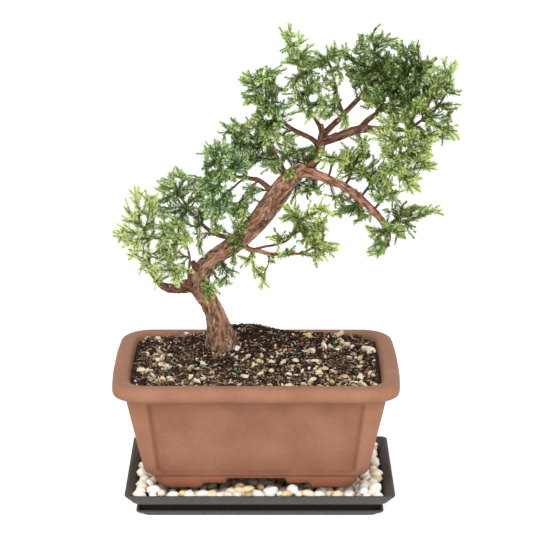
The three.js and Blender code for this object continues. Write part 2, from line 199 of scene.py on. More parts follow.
def turn_about(axes, angles):
    """Rodrigues' formula: rows of each matrix are where the three axes go."""
    x, y, z = np.broadcast_to(axes, (len(angles), 3)).T
    c, s = np.cos(angles), np.sin(angles)
    k = 1 - c
    rows = [
        [c + x * x * k, y * x * k + z * s, z * x * k - y * s],
        [x * y * k - z * s, c + y * y * k, z * y * k + x * s],
        [x * z * k + y * s, y * z * k - x * s, c + z * z * k],
    ]
    return np.moveaxis(np.array(rows), 2, 0)


print("a skin of 3 rings of 4 points has", len(skin_faces(3, 4)), "quads")

# %% Noise


def lattice_noise(points, seed):
    """Smooth noise from 0 to 1: a random value at each whole-number corner, blended across each cell."""
    cell = np.floor(points).astype(np.int64)
    part = points - cell
    part = part * part * (3 - 2 * part)
    total = np.zeros(points.shape[:-1])
    for corner in np.ndindex(2, 2, 2):
        at = (cell + corner).astype(np.uint64)
        mixed = at[..., 0] * np.uint64(73856093) ^ at[..., 1] * np.uint64(19349663)
        mixed ^= at[..., 2] * np.uint64(83492791) ^ np.uint64(seed * 2654435761)
        mixed = (mixed ^ (mixed >> np.uint64(13))) * np.uint64(1274126177)
        value = ((mixed ^ (mixed >> np.uint64(16))) & np.uint64(0xFFFF)).astype(float) / 0xFFFF
        weight = np.where(np.array(corner) == 1, part, 1 - part).prod(-1)
        total += value * weight
    return total


def rough_noise(points, seed, octaves=3):
    """Several noises added, each twice as fine and half as strong, still from 0 to 1."""
    total = np.zeros(points.shape[:-1])
    for octave in range(octaves):
        total += lattice_noise(points * 2.0 ** octave, seed + octave) * 0.5 ** octave
    return total / (2 - 0.5 ** (octaves - 1))


def ease(low, high, values):
    """0 below low, 1 above high, and a smooth step between."""
    share = np.clip((values - low) / (high - low), 0, 1)
    return share * share * (3 - 2 * share)


sample = lattice_noise(np.random.default_rng(1).random((999, 3)) * 50, 1)
print("noise runs from", round(float(sample.min()), 2), "to", round(float(sample.max()), 2))

# %% [markdown]
# ## Finishes
# Real clay, bark and plastic are never one flat colour. Each finish mixes two or three tones by a noise in
# the piece's own coordinates, and a bump from a finer noise breaks up the shine. A few values that follow
# the shape, such as how deep a point lies in the bark, are stored on the mesh and read back here.

# %% Node helpers


def new_finish(name, roughness, specular=0.5):
    """A material with its shader's plain values set on the shader itself."""
    finish = bpy.data.materials.new(name)
    finish.use_nodes = True
    shader = finish.node_tree.nodes["Principled BSDF"]
    shader.inputs["Roughness"].default_value = roughness
    shader.inputs["Specular IOR Level"].default_value = specular
    return finish


def add_node(finish, kind, inputs=None, **settings):
    """A node of this kind, with its settings, and each input set to a value or wired to a socket."""
    node = finish.node_tree.nodes.new(kind)
    for key, value in settings.items():
        setattr(node, key, value)
    for key, value in (inputs or {}).items():
        if isinstance(value, bpy.types.NodeSocket):
            finish.node_tree.links.new(value, node.inputs[key])
        else:
            node.inputs[key].default_value = value
    return node


def place_of(finish):
    """The point's place on the piece, in metres."""
    return add_node(finish, "ShaderNodeTexCoord").outputs["Object"]


def noise(finish, scale, detail=3.0, place=None, roughness=0.55):
    """A cloudy value of about 0 to 1; scale is blobs per metre."""
    inputs = {"Vector": place or place_of(finish), "Scale": scale, "Detail": detail, "Roughness": roughness}
    return add_node(finish, "ShaderNodeTexNoise", inputs).outputs["Fac"]


def ramp(finish, value, stops):
    """A colour for each value: stops are (value, (r, g, b)), in linear light."""
    node = add_node(finish, "ShaderNodeValToRGB", {"Fac": value})
    elements = node.color_ramp.elements
    while len(elements) < len(stops):
        elements.new(0.5)
    for element, (position, color) in zip(elements, stops):
        element.position = position
        element.color = (*color, 1)
    return node.outputs["Color"]


def blend(finish, share, first, second, mode="MIX"):
    """The first colour, going to the second as the share goes from 0 to 1."""
    factor, color_a, color_b, result = 0, 6, 7, 2
    inputs = {factor: share}
    for key, value in ((color_a, first), (color_b, second)):
        inputs[key] = value if isinstance(value, bpy.types.NodeSocket) else (*value, 1)
    return add_node(finish, "ShaderNodeMix", inputs, data_type="RGBA", blend_type=mode).outputs[result]


def attribute(finish, name):
    """A value stored on the mesh under this name."""
    return add_node(finish, "ShaderNodeAttribute", attribute_name=name).outputs["Fac"]


def math_node(finish, operation, first, second):
    """One sum on two values."""
    return add_node(finish, "ShaderNodeMath", {0: first, 1: second}, operation=operation).outputs[0]


def tinted(finish, color, name, tint):
    """The colour, multiplied by the tint where the value stored under this name is 1."""
    share = ramp(finish, attribute(finish, name), [(0.0, (1, 1, 1)), (1.0, tint)])
    return blend(finish, 1.0, color, share, "MULTIPLY")


def dress(finish, color, bump=None, bump_depth=0.0, strength=1.0):
    """Wires the colour, and a bump whose depth is in metres, to the shader."""
    shader = finish.node_tree.nodes["Principled BSDF"]
    finish.node_tree.links.new(color, shader.inputs["Base Color"])
    if bump is not None:
        inputs = {"Height": bump, "Distance": bump_depth, "Strength": strength}
        relief = add_node(finish, "ShaderNodeBump", inputs)
        finish.node_tree.links.new(relief.outputs["Normal"], shader.inputs["Normal"])


print("node helpers ready")

# %% [markdown]
# ## The drip tray
# The tray is a thin moulded plastic dish. From outside in: a narrow base, a deep groove that reads as a black
# line, a flared lip, and a wall that drops to the floor inside. It could be a bevelled box, but a rounded
# rectangle carried along a profile gives every wall its own slope.

# %% A rounded rectangle carried along a profile


def rectangle_walk(steps_x=120, steps_y=72, corner_steps=12):
    """One turn round a rounded rectangle: for each place, how far along its straight side from -1 to 1,
    which way its wall faces, and which of the four sides it belongs to."""
    straight, facing, side = [], [], []
    for number, steps in enumerate((steps_x, steps_y, steps_x, steps_y)):
        angle = 90 * number - 90
        bend = np.linspace(0, 90, corner_steps, endpoint=False)
        straight.append(np.append(np.linspace(-1, 1, steps, endpoint=False), np.ones(corner_steps)))
        facing.append(np.radians(angle + np.append(np.zeros(steps), bend)))
        side.append(np.full(steps + corner_steps, number))
    return np.concatenate(straight), np.concatenate(facing), np.concatenate(side)


def rectangle_ring(walk, half_x, half_y, corner):
    """Points of a rounded rectangle: along a side the place runs from corner centre to corner centre, and
    the wall stands one corner radius out from there, in the direction that it faces."""
    straight, facing, side = walk
    inner_x, inner_y = half_x - corner, half_y - corner
    x = np.choose(side, [straight * inner_x, inner_x, -straight * inner_x, -inner_x])
    y = np.choose(side, [-inner_y, straight * inner_y, inner_y, -straight * inner_y])
    return x + corner * np.cos(facing), y + corner * np.sin(facing)


def level_ring(walk, half_x, half_y, corner, height):
    """One ring of points; the height is one value or one for each point."""
    x, y = rectangle_ring(walk, half_x, half_y, corner)
    return np.stack([x, y, np.broadcast_to(height, x.shape)], -1)


def soft_profile(corners, rounding, step):
    """Rows of values along a path: straight from corner to corner, then averaged with itself over the
    rounding length so that every corner is eased, then thinned to one row for each step."""
    corners = np.array(corners, float)
    lengths = np.linalg.norm(np.diff(corners, axis=0), axis=1)
    along = np.concatenate([[0], np.cumsum(lengths)])
    fine = np.arange(0, along[-1], 0.1)
    rows = np.stack([np.interp(fine, along, column) for column in corners.T], 1)
    width = max(1, int(rounding / 0.1))
    padded = np.concatenate([np.repeat(rows[:1], width, 0), rows, np.repeat(rows[-1:], width, 0)])
    sums = np.cumsum(padded, 0)
    soft = (sums[2 * width:] - sums[:-2 * width]) / (2 * width)
    soft[0], soft[-1] = rows[0], rows[-1]
    keep = np.unique(np.append(np.arange(0, len(soft), int(step / 0.1)), len(soft) - 1))
    return soft[keep]


def close_stack(rings):
    """A skin over all the rings, with a pole in the middle of the first and the last."""
    count, around = rings.shape[:2]
    points = np.concatenate([rings.reshape(-1, 3), [rings[0].mean(0), rings[-1].mean(0)]])
    start = fan_faces(0, around, count * around, False)
    end = fan_faces((count - 1) * around, around, count * around + 1, True)
    return points, [skin_faces(count, around), np.concatenate([start, end])]


print("one turn round the pot has", len(rectangle_walk()[0]), "places")

# %% Tray


def tray_finish():
    """Dark grey plastic with fine scuffs that break the surface. The stored mark blends from near-black to
    the plastic's grey: the grey shows on the outer walls and the top of the lip, and the groove and inner
    walls are painted near-black as shade.
    """
    finish = new_finish("tray_plastic", 0.6, 0.12)
    scuffs = noise(finish, 700, 6)
    # Painted shade: the near-black colour stands for the shade in the groove and on the inner walls; the grey
    # one is the plastic's own colour.
    fresh = ramp(finish, scuffs, [(0.35, (0.007, 0.005, 0.004)), (0.7, (0.014, 0.011, 0.009))])
    wear_and_light = ramp(finish, scuffs, [(0.35, (0.105, 0.092, 0.089)), (0.7, (0.155, 0.138, 0.134))])
    dress(finish, blend(finish, attribute(finish, "wear_and_light"), fresh, wear_and_light), scuffs, 0.00008, 0.5)
    return finish


def drip_tray():
    """The section, from the middle of the underside out, up, over the lip and down to the floor inside:
    rows of (half x, half y, height)."""
    section = [
        (80.0, 53.0, 0.0), (83.4, 56.2, 0.0), (84.0, 56.8, 0.4), (84.0, 56.8, 1.1), (87.2, 56.4, 1.3),
        (88.6, 56.4, 1.6), (88.6, 56.4, 2.5), (87.8, 55.6, 2.9), (84.0, 52.4, 3.2), (84.0, 52.4, 8.0),
        (89.2, 56.6, 8.2), (91.0, 57.6, 9.0), (96.2, 61.8, 15.0), (96.6, 62.2, 16.0), (94.4, 60.0, 16.1),
        (93.6, 59.2, 15.2), (88.6, 54.2, 10.2), (84.2, 50.6, 9.4), (82.2, 49.0, 2.6), (60.0, 30.0, 2.5),
    ]
    walk, corner = rectangle_walk(60, 36, 10), 5.0
    rows = soft_profile(section, 0.4, 0.7)
    rings = np.array([level_ring(walk, half_x, half_y, corner, height) for half_x, half_y, height in rows])
    points, faces = close_stack(rings)
    off_x, off_y, height = np.abs(rings[:, :, 0]), np.abs(rings[:, :, 1]), rings[:, :, 2]
    # Painted shade: the stored mark keeps the grey on the outer walls, varied a little by height, and on the
    # upper inner face at the two ends; the groove and the rest of the inner walls get 0 and are painted
    # near-black as shade.
    out = np.maximum(off_x - 86.0, off_y - 53.0)
    outside = np.arange(len(rings)) <= rings[:, 0, 2].argmax()
    outer = ease(0, 1.6, out) * (0.62 + 0.10 * ease(7.0, 8.5, height)) * (1 - 0.2 * ease(10.5, 16, height))
    inner = 0.7 * ease(9.5, 12.5, height) * ease(84.0, 88.0, off_x)
    tones = {"wear_and_light": np.append(np.where(outside[:, None], outer, inner), [0, 0])}
    make_piece("drip_tray_shell", points, faces, tray_finish(), ["drip_tray"], tones=tones)


drip_tray()

# %% [markdown]
# ## The clay pot
# The pot is pressed in a mould: four walls that lean out, rounded posts at the corners, a recessed panel
# between each pair of posts, a thick soft rim and a stepped foot. A box with bevels would have the same
# softness everywhere. Here one profile runs from under the foot over the rim to the inner floor, and the
# panels, the posts and the gaps between the feet are pushed into the same skin by how far a point lies along
# its side.

# %% Pot
pot_low, pot_high = (np.array(corner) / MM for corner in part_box("pot"))
POT_X = -2.7
RIM_TOP = pot_high[2]
FOOT_BOTTOM = pot_low[2] - 1.0
BODY_BOTTOM = 27.5
BODY_TOP = 87.5
PANEL_DEPTH = 2.2
print("the pot stands from", round(FOOT_BOTTOM, 1), "to", round(RIM_TOP, 1))


def clay_finish():
    """Unglazed red-brown clay: a warm cloudy base, redder on the foot, paler and greyer along the rim, with a
    grain that is felt more than seen. Painted shade darkens the creases round the panels and a band under the
    rim, the clay is darker towards the bottom, and painted light makes the corner posts paler."""
    finish = new_finish("clay", 0.78, 0.3)
    cloud = noise(finish, 34, 6, roughness=0.62)
    grain = noise(finish, 2400, 4)
    base = ramp(finish, cloud, [(0.3, (0.222, 0.095, 0.052)), (0.5, (0.258, 0.113, 0.064)),
                                (0.7, (0.295, 0.133, 0.077))])
    specks = ramp(finish, noise(finish, 800, 7, roughness=0.7), [(0.38, (0.74, 0.72, 0.72)), (0.5, (1, 1, 1)),
                                                                 (0.66, (1.10, 1.08, 1.06))])
    grained = blend(finish, 0.45, base, specks, "MULTIPLY")
    # The stored shade, broken up by a noise, darkens the clay: painted shade in the creases and under the
    # rim, and darker towards the bottom.
    shade_amount = math_node(finish, "MULTIPLY", attribute(finish, "shade"), noise(finish, 60, 4))
    darker = ramp(finish, shade_amount, [(0.0, (1, 1, 1)), (0.7, (0.66, 0.58, 0.55))])
    color = blend(finish, 1.0, grained, darker, "MULTIPLY")
    # Painted light: the tint on the corner posts makes them paler, as if lit from the front left; the foot is
    # redder and the rim paler and greyer.
    tints = {"low": (1.02, 0.82, 0.74), "rim": (1.12, 1.22, 1.30), "painted_post_light": (1.22, 1.26, 1.24)}
    for name, tint in tints.items():
        color = tinted(finish, color, name, tint)
    dress(finish, color, grain, 0.00012, 0.6)
    return finish


def foot_bottom(position, half_gap, half_step):
    """How high the foot's underside is: full height in the middle gap, a step, then down to the ground."""
    away = np.abs(position)
    full, step = BODY_BOTTOM - 3.4, BODY_BOTTOM - 7.2
    height = full + (step - full) * ease(half_gap - 1.0, half_gap + 1.5, away)
    return height + (FOOT_BOTTOM - step) * ease(half_step - 1.5, half_step + 1.5, away)


# Rows of half x, half y, corner radius and height: up the wall, over the rim and down inside.
POT_WALL = [
    (73.6, 48.2, 8, 26.6), (76.6, 49.2, 8.5, 27.0), (79.6, 50.6, 9, 28.4), (80.8, 51.6, 9, 31.0),
    (92.8, 61.4, 15, 86.6), (93.0, 61.6, 15, 88.4), (97.8, 66.4, 18, 88.6), (100.6, 69.4, 20, 89.6),
    (101.5, 70.7, 21, 91.6), (101.6, 71.3, 21, 95.4), (100.9, 70.8, 21, 97.8), (98.6, 69.0, 20, 99.5),
    (95.4, 66.0, 18, 99.9), (92.2, 62.8, 16, 99.8), (90.3, 60.9, 14, 99.0), (89.4, 59.8, 13, 97.4),
    (85.4, 54.4, 10, 84.0),
]
POT_INSIDE = [(80.0, 49.5, 8, 76.0), (71.0, 42.0, 7, 38.0), (68.0, 39.0, 5, 36.1)]


def pot_foot(walk):
    """Rings of the foot, from its inner edge out; its lower edge follows the gap and the step of each
    side."""
    straight, _, side = walk
    long_side = side % 2 == 0
    outer_x, outer_y = rectangle_ring(walk, 71, 48, 9)
    lower = np.where(long_side, foot_bottom(outer_x, 21.5, 40), foot_bottom(outer_y, 11, 20))
    lower = np.where(straight == 1, FOOT_BOTTOM, lower)
    rows = [(60.0, 36.5, 4.0, BODY_BOTTOM - 0.3), (60.3, 36.8, 4.0, lower + 0.8), (61.5, 38.0, 5.0, lower),
            (69.2, 45.4, 8.5, lower)]
    for share in np.linspace(0, 1, 6):
        swell = math.sin(share * math.pi / 2)
        height = lower + (BODY_BOTTOM - 1.5 - lower) * (0.12 + 0.88 * share)
        rows.append((70.6 + 3.2 * swell, 46.4 + 2.2 * swell, 10.0, height))
    rows.append((73.4, 48.0, 9.8, BODY_BOTTOM - 0.8))
    return [level_ring(walk, *row) for row in rows]


def pot_push(walk, height):
    """How far each point of the outer wall is pushed in: the panel, a crease along its two ends and another
    along its foot. Also how strong both creases are, which the clay darkens as painted shade, and how far
    each point lies on the rounded column left between panel and corner, which the clay paints lighter as if
    lit."""
    straight, _, side = walk
    lean = (height - BODY_BOTTOM) / (BODY_TOP - BODY_BOTTOM)
    inner_half = np.where(side % 2 == 0, 72.0, 42.5) + lean * 6.5
    reach = (1 - np.abs(straight)) * inner_half
    window = ease(BODY_BOTTOM + 2.0, BODY_BOTTOM + 5.0, height)
    window = window * (1 - ease(BODY_TOP - 4.5, BODY_TOP - 1, height))
    panel = ease(0.2, 3.6, reach) * window
    crease = np.exp(-((reach - 2.4) / 1.2) ** 2) * window
    bottom = np.exp(-((height - BODY_BOTTOM - 3.4) / 1.3) ** 2) * ease(2, 5, reach)
    painted_post_light = (1 - ease(-1.0, 2.0, reach)) * ease(BODY_BOTTOM + 2, BODY_BOTTOM + 8, height)
    return PANEL_DEPTH * panel + 0.7 * crease + 0.25 * bottom, crease, bottom, painted_post_light


def clay_pot():
    """The skin in three runs: the foot, the outer wall with its panels, and the rim with the cavity."""
    walk = straight, facing, side = rectangle_walk()
    foot = pot_foot(walk)
    wall = [level_ring(walk, *row) for row in soft_profile(POT_WALL, 1.2, 0.8)]
    rings = np.array(foot + wall + [level_ring(walk, *row) for row in POT_INSIDE])
    height = rings[:, :, 2]
    number = np.arange(len(rings))[:, None]
    past_rim = len(foot) + len(wall) - 10
    outer = (number >= len(foot)) & (height < BODY_TOP) & (number < past_rim)
    push, crease, bottom, painted_post_light = pot_push(walk, height)
    push = np.where(outer, push, 0)
    bow_out = ease(BODY_TOP, 92, height) * (number >= len(foot))
    short_side = np.where(side % 2 == 1, np.clip(1 - straight ** 2, 0, 1), 0)
    push = push + (rough_noise(rings / 34.0, 5) - 0.5) * 0.6 - 1.6 * bow_out * short_side
    rings[:, :, 0] += POT_X - push * np.cos(facing)
    rings[:, :, 1] -= push * np.sin(facing)
    points, faces = close_stack(rings)
    low = 1 - ease(BODY_BOTTOM - 1.0, BODY_BOTTOM + 1.5, height)
    rim = ease(BODY_TOP + 1.5, RIM_TOP - 4, height)
    # Painted shade: the creases round the panels and a band under the rim are darkened in colour, and the
    # clay is darker towards the bottom.
    painted_rim_shadow = ease(BODY_TOP - 11, BODY_TOP, height)
    shade = 0.9 * crease + 0.8 * bottom + 0.5 * (1 - ease(30, 52, height)) + 0.55 * painted_rim_shadow
    tones = {"low": low, "rim": rim, "shade": np.where(outer, shade, 0), "painted_post_light": np.where(outer, painted_post_light, 0)}
    tones = {key: np.append(values, [0, 0]) for key, values in tones.items()}
    make_piece("clay_pot", points, faces, clay_finish(), ["pot"], tones=tones)


clay_pot()

# %% [markdown]
# ## Pebbles
# White river pebbles fill the tray, lie under the pot and show between its feet. Physics could drop them in,
# but a jittered grid with three layers gives the same packing at once. Each pebble is a small ball of 32
# faces, dented, squashed and turned its own way, and its tone picks white, cream or tan.

# %% Pebbles
SEED = 7


def ball(rounds):
    """An octahedron whose triangles are cut in four and pushed onto the unit ball, this many times."""
    points = np.array([[1, 0, 0], [0, 1, 0], [-1, 0, 0], [0, -1, 0], [0, 0, 1], [0, 0, -1]], float)
    faces = np.array([[0, 1, 4], [1, 2, 4], [2, 3, 4], [3, 0, 4], [1, 0, 5], [2, 1, 5], [3, 2, 5], [0, 3, 5]])
    for _ in range(rounds):
        sides = np.sort(faces[:, [[0, 1], [1, 2], [2, 0]]].reshape(-1, 2), 1)
        edges, place = np.unique(sides, axis=0, return_inverse=True)
        middle = place.reshape(-1, 3) + len(points)
        points = np.concatenate([points, unit(points[edges].mean(1))])
        (a, b, c), (ab, bc, ca) = faces.T, middle.T
        quarters = ([a, ab, ca], [ab, b, bc], [ca, bc, c], [ab, bc, ca])
        faces = np.concatenate([np.stack(quarter, 1) for quarter in quarters])
    return points, faces


def pebble_finish():
    """Smooth stone: white, cream or tan by its own tone, with faint clouds, and painted shade that darkens it
    low in the tray and under the pot.
    """
    finish = new_finish("pebble_stone", 0.42, 0.4)
    stops = [(0.0, (0.98, 0.97, 0.94)), (0.5, (0.98, 0.94, 0.84)), (0.70, (0.96, 0.86, 0.66)),
             (0.86, (0.90, 0.68, 0.38)), (0.94, (0.62, 0.45, 0.28)), (1.0, (0.95, 0.90, 0.80))]
    stone = ramp(finish, attribute(finish, "tone"), stops)
    cloud = ramp(finish, noise(finish, 260, 4), [(0.35, (0.93, 0.90, 0.85)), (0.55, (1, 1, 1))])
    clouded = blend(finish, 0.8, stone, cloud, "MULTIPLY")
    dress(finish, tinted(finish, clouded, "painted_pebble_shade", (0.20, 0.14, 0.09)), noise(finish, 500, 3), 0.0002, 0.5)
    return finish


def pebble_places(random):
    """A jittered grid in three layers, kept inside the tray and clear of the pot's foot and wall."""
    spacing = 7.0
    grid = np.meshgrid(np.arange(-86, 87, spacing), np.arange(-53, 54, spacing))
    columns, rows = (numbers.ravel() for numbers in grid)
    layers = []
    for height, shift in ((5.6, 0.0), (10.0, 3.4), (13.9, 1.2)):
        flat = np.stack([columns + shift, rows + shift * 0.7, np.full(len(rows), height)], 1)
        layers.append(flat + random.uniform(-1.7, 1.7, flat.shape) * [1, 1, 0.4])
    places = np.concatenate(layers)
    reach = np.array([77.6, 44.6]) + 9.0 * ease(8.5, 13, places[:, 2:3])
    places = places[(np.abs(places[:, :2]) < reach).all(1)]
    off_foot = np.abs(places[:, :2] - [POT_X, 0])
    under = (off_foot < [74, 50]).all(1)
    hollow = (off_foot < [58, 34]).all(1) | (off_foot[:, 0] < 19) | (off_foot[:, 1] < 8)
    blocked = under & (places[:, 2] > 12) & (~hollow | (places[:, 1] > -35))
    return places[~blocked & ~(under & (places[:, 2] > 13.4) & (random.random(len(places)) < 0.25))]


# Four large white pebbles on top of the front row: place, then half length, half width and half height.
LARGE_PEBBLES = np.array([
    (23.5, -46.5, 15.6, 6.0, 4.4, 4.2), (83.0, -43.0, 15.5, 5.4, 4.8, 4.0),
    (-76.0, -46.0, 15.2, 5.8, 4.6, 3.8), (8.0, -50.0, 15.2, 5.8, 4.2, 3.6),
])


def pebbles():
    """Every pebble of the tray as one piece."""
    random = np.random.default_rng(SEED)
    places = pebble_places(random)
    count = len(places)
    sizes = random.uniform(3.3, 5.9, (count, 1))
    sizes = sizes * random.uniform([0.9, 0.70, 0.60], [1.25, 1.0, 0.85], (count, 3))
    sizes = np.where(places[:, 2:3] > 12.6, np.minimum(sizes, [6.2, 5.0, 3.4]), sizes)
    places = np.concatenate([places, LARGE_PEBBLES[:, :3]])
    sizes = np.concatenate([sizes, LARGE_PEBBLES[:, 3:]])
    turns = random_turns(random, len(places), 0.35)
    shape, faces = ball(1)
    dented = shape * (0.86 + 0.3 * rough_noise(shape * 1.1 + 5, 3))[:, None]
    points, corners = copies(dented, faces, places, turns, sizes)
    tone = np.repeat(random.random(len(places)), len(shape))
    tone[-len(LARGE_PEBBLES) * len(shape):] = 0.1
    # Painted shade: points low in the tray, between and under the pebbles, are darkened. The pebbles under
    # the pot, behind its front edge, get a painted shadow.
    painted_pot_shadow = ease(-43, -35, points[:, 1]) * (np.abs(points[:, 0] - POT_X) < 72) * (np.abs(points[:, 1]) < 44)
    painted_pebble_shade = np.clip(1 - ease(6.5, 12.8, points[:, 2]) + 0.8 * painted_pot_shadow, 0, 1)
    nodes = ["pebble_bed"] + [f"pebble_{number}" for number in range(1, 17)]
    tones = {"tone": tone, "painted_pebble_shade": painted_pebble_shade}
    make_piece("tray_pebbles", points, [corners], pebble_finish(), nodes, tones=tones)


pebbles()

# %% [markdown]
# ## Soil
# Potting mix is the busiest surface of the plant: dark crumbs, bark chips, straw, pale angular grit and a few
# beads of fertiliser. A bumpy sheet alone reads as mud, so the sheet only carries the height, and thousands
# of small low-faced pieces lie on it.

# %% Soil height and body
SOIL_HALF = np.array([88.6, 58.0])
SOIL_LEVEL = 95.2
TRUNK_FOOT = (-28.5, 20.0)


def soil_height(x, y):
    """Level at the rim, heaped behind and round the trunk, with lumps a few millimetres across."""
    mound = 13.0 * np.exp(-((x + 14) / 34) ** 2 - ((y - 38) / 20) ** 2)
    mound = mound + 4.0 * np.exp(-((x - 38) / 42) ** 2 - ((y - 44) / 17) ** 2) + 3.2 * ease(15, 55, y)
    foot = 6.5 * np.exp(-((x - TRUNK_FOOT[0]) ** 2 + (y - TRUNK_FOOT[1] + 4) ** 2) / 300)
    spread = 2.6 * np.exp(-((x - 30) / 40) ** 2 - ((y - 22) / 26) ** 2)
    where = np.stack([x, y, np.zeros_like(x)], -1)
    lumps = (rough_noise(where / 9, 21) - 0.5) * 3.4 + (lattice_noise(where / 26, 31) - 0.5) * 2.6
    edge = np.maximum(np.abs(x - POT_X) / SOIL_HALF[0], np.abs(y) / SOIL_HALF[1])
    heap = (mound + foot + spread) * (1 - 0.92 * ease(0.80, 1, edge))
    return SOIL_LEVEL + heap + lumps * (1 - 0.5 * ease(0.9, 1, edge))


def soil_finish():
    """Peat: nearly black, browner on the lumps."""
    finish = new_finish("peat", 0.95, 0.2)
    grain = noise(finish, 900, 6, roughness=0.7)
    color = ramp(finish, grain, [(0.36, (0.008, 0.005, 0.004)), (0.55, (0.030, 0.017, 0.011)),
                                 (0.68, (0.085, 0.050, 0.030))])
    dress(finish, color, grain, 0.0012, 1.0)
    return finish


def soil_body():
    """A sheet of rings that shrink to the middle, over a plain skirt that goes down inside the pot."""
    walk = rectangle_walk(110, 70, 8)
    skirt = ((69, 40, 10, 37.4), (86.5, 56, 10, 88))
    rings = [level_ring(walk, *row) + [POT_X, 0, 0] for row in skirt]
    for share in np.linspace(1, 0.02, 70):
        x, y = rectangle_ring(walk, *SOIL_HALF, 11)
        x, y = x * share + POT_X, y * share
        rings.append(np.stack([x, y, soil_height(x, y)], -1))
    points, faces = close_stack(np.array(rings))
    nodes = ["soil"] + [f"soil_stone_{number}" for number in range(1, 9)]
    make_piece("soil_body", points, faces, soil_finish(), nodes)


soil_body()

# %% Crumbs and straw


def on_soil(random, count, front=0.0):
    """Random places on the soil; front from 0 to 1 moves more of them to the front and the right."""
    x = random.uniform(-1, 1, count * 4) * (SOIL_HALF[0] - 2.5)
    y = random.uniform(-1, 1, count * 4) * (SOIL_HALF[1] - 2.5)
    want = 1 - front * ease(-30, 45, y - x * 0.35)
    clear = np.hypot(x + POT_X - TRUNK_FOOT[0], y - TRUNK_FOOT[1]) > 11
    past_x, past_y = (np.maximum(np.abs(value) - half + 11, 0) for value, half in zip((x, y), SOIL_HALF))
    within = past_x ** 2 + past_y ** 2 < 80
    kept = np.flatnonzero((random.random(count * 4) < want) & clear & within)[:count]
    x, y = x[kept] + POT_X, y[kept]
    return np.stack([x, y, soil_height(x, y)], -1)


def litter_finish(name, stops, roughness=0.9, scale=1200):
    """One colour ramp over the tone stored on each small piece, darkened a little in its pores."""
    finish = new_finish(name, roughness, 0.25)
    base = ramp(finish, attribute(finish, "tone"), stops)
    pores = ramp(finish, noise(finish, scale, 4), [(0.38, (0.62, 0.58, 0.54)), (0.58, (1, 1, 1))])
    dress(finish, blend(finish, 0.8, base, pores, "MULTIPLY"))
    return finish


def scatter(name, shape, faces, places, turns, sizes, finish, tone, smooth=False):
    """Copies of one small shape as a single piece, each with its own tone."""
    points, corners = copies(shape, faces, places, turns, sizes)
    tones = {"tone": np.repeat(tone, len(shape))}
    make_piece(name, points, [corners], finish, smooth=smooth, tones=tones)


def crumbs(random):
    """Peat and bark crumbs: lumps of eight faces, half of them nearly black."""
    shape, faces = ball(0)
    shape = shape * np.random.default_rng(2).uniform(0.7, 1.2, (len(shape), 1))
    places = on_soil(random, 14000)
    radius = 0.40 + 1.25 * random.random((len(places), 1)) ** 3
    sizes = radius * random.uniform([1, 0.6, 0.4], [1.6, 1.1, 0.9], (len(places), 3))
    places[:, 2] += sizes[:, 2] * 0.5 + random.uniform(0, 0.5, len(places))
    stops = [(0.0, (0.006, 0.004, 0.004)), (0.48, (0.022, 0.012, 0.010)), (0.66, (0.070, 0.032, 0.024)),
             (0.82, (0.18, 0.095, 0.065)), (0.93, (0.46, 0.34, 0.21)), (1.0, (0.80, 0.70, 0.50))]
    finish = litter_finish("crumb", stops)
    turns = random_turns(random, len(places))
    scatter("soil_crumbs", shape, faces, places, turns, sizes, finish, random.random(len(places)))


def splinter():
    """A thin four-sided spindle along x with its ends bent: 10 points, 16 faces."""
    ring = np.linspace(0, 2 * np.pi, 4, endpoint=False)
    middle = np.stack([np.zeros(4), np.cos(ring), np.sin(ring)], -1)
    shape = np.concatenate([[[-1, 0, 0.5]], middle + [-0.35, 0, 0], middle + [0.4, 0, 0.2], [[1, 0, -0.2]]])
    walk = np.arange(4)
    ahead = (walk + 1) % 4
    near_end = np.stack([np.zeros(4, int), ahead + 1, walk + 1], 1)
    far_end = np.stack([np.full(4, 9), walk + 5, ahead + 5], 1)
    side_low = np.stack([walk + 1, ahead + 1, ahead + 5], 1)
    side_high = np.stack([walk + 1, ahead + 5, walk + 5], 1)
    return shape, np.concatenate([near_end, far_end, side_low, side_high])


def straw(random):
    """Thin fibres and splinters, the longest of them at the front left."""
    shape, faces = splinter()
    places = on_soil(random, 2300)
    count = len(places)
    left = 1 - ease(-50, 30, places[:, 0] + places[:, 1] * 0.8)
    length = random.uniform(0.9, 2.4, count) + random.random(count) ** 3 * (2.0 + 4.5 * left)
    sizes = np.stack([length, random.uniform(0.16, 0.42, count), random.uniform(0.15, 0.35, count)], 1)
    places[:, 2] += 0.9
    stops = [(0.0, (0.045, 0.022, 0.016)), (0.35, (0.12, 0.058, 0.040)), (0.6, (0.28, 0.145, 0.095)),
             (0.8, (0.46, 0.30, 0.19)), (1.0, (0.66, 0.52, 0.35))]
    finish = litter_finish("straw", stops)
    turns = random_turns(random, count, 0.22)
    scatter("soil_straw", shape, faces, places, turns, sizes, finish, random.random(count))


litter_random = np.random.default_rng(SEED + 1)
crumbs(litter_random)
straw(litter_random)

# %% Grit and beads


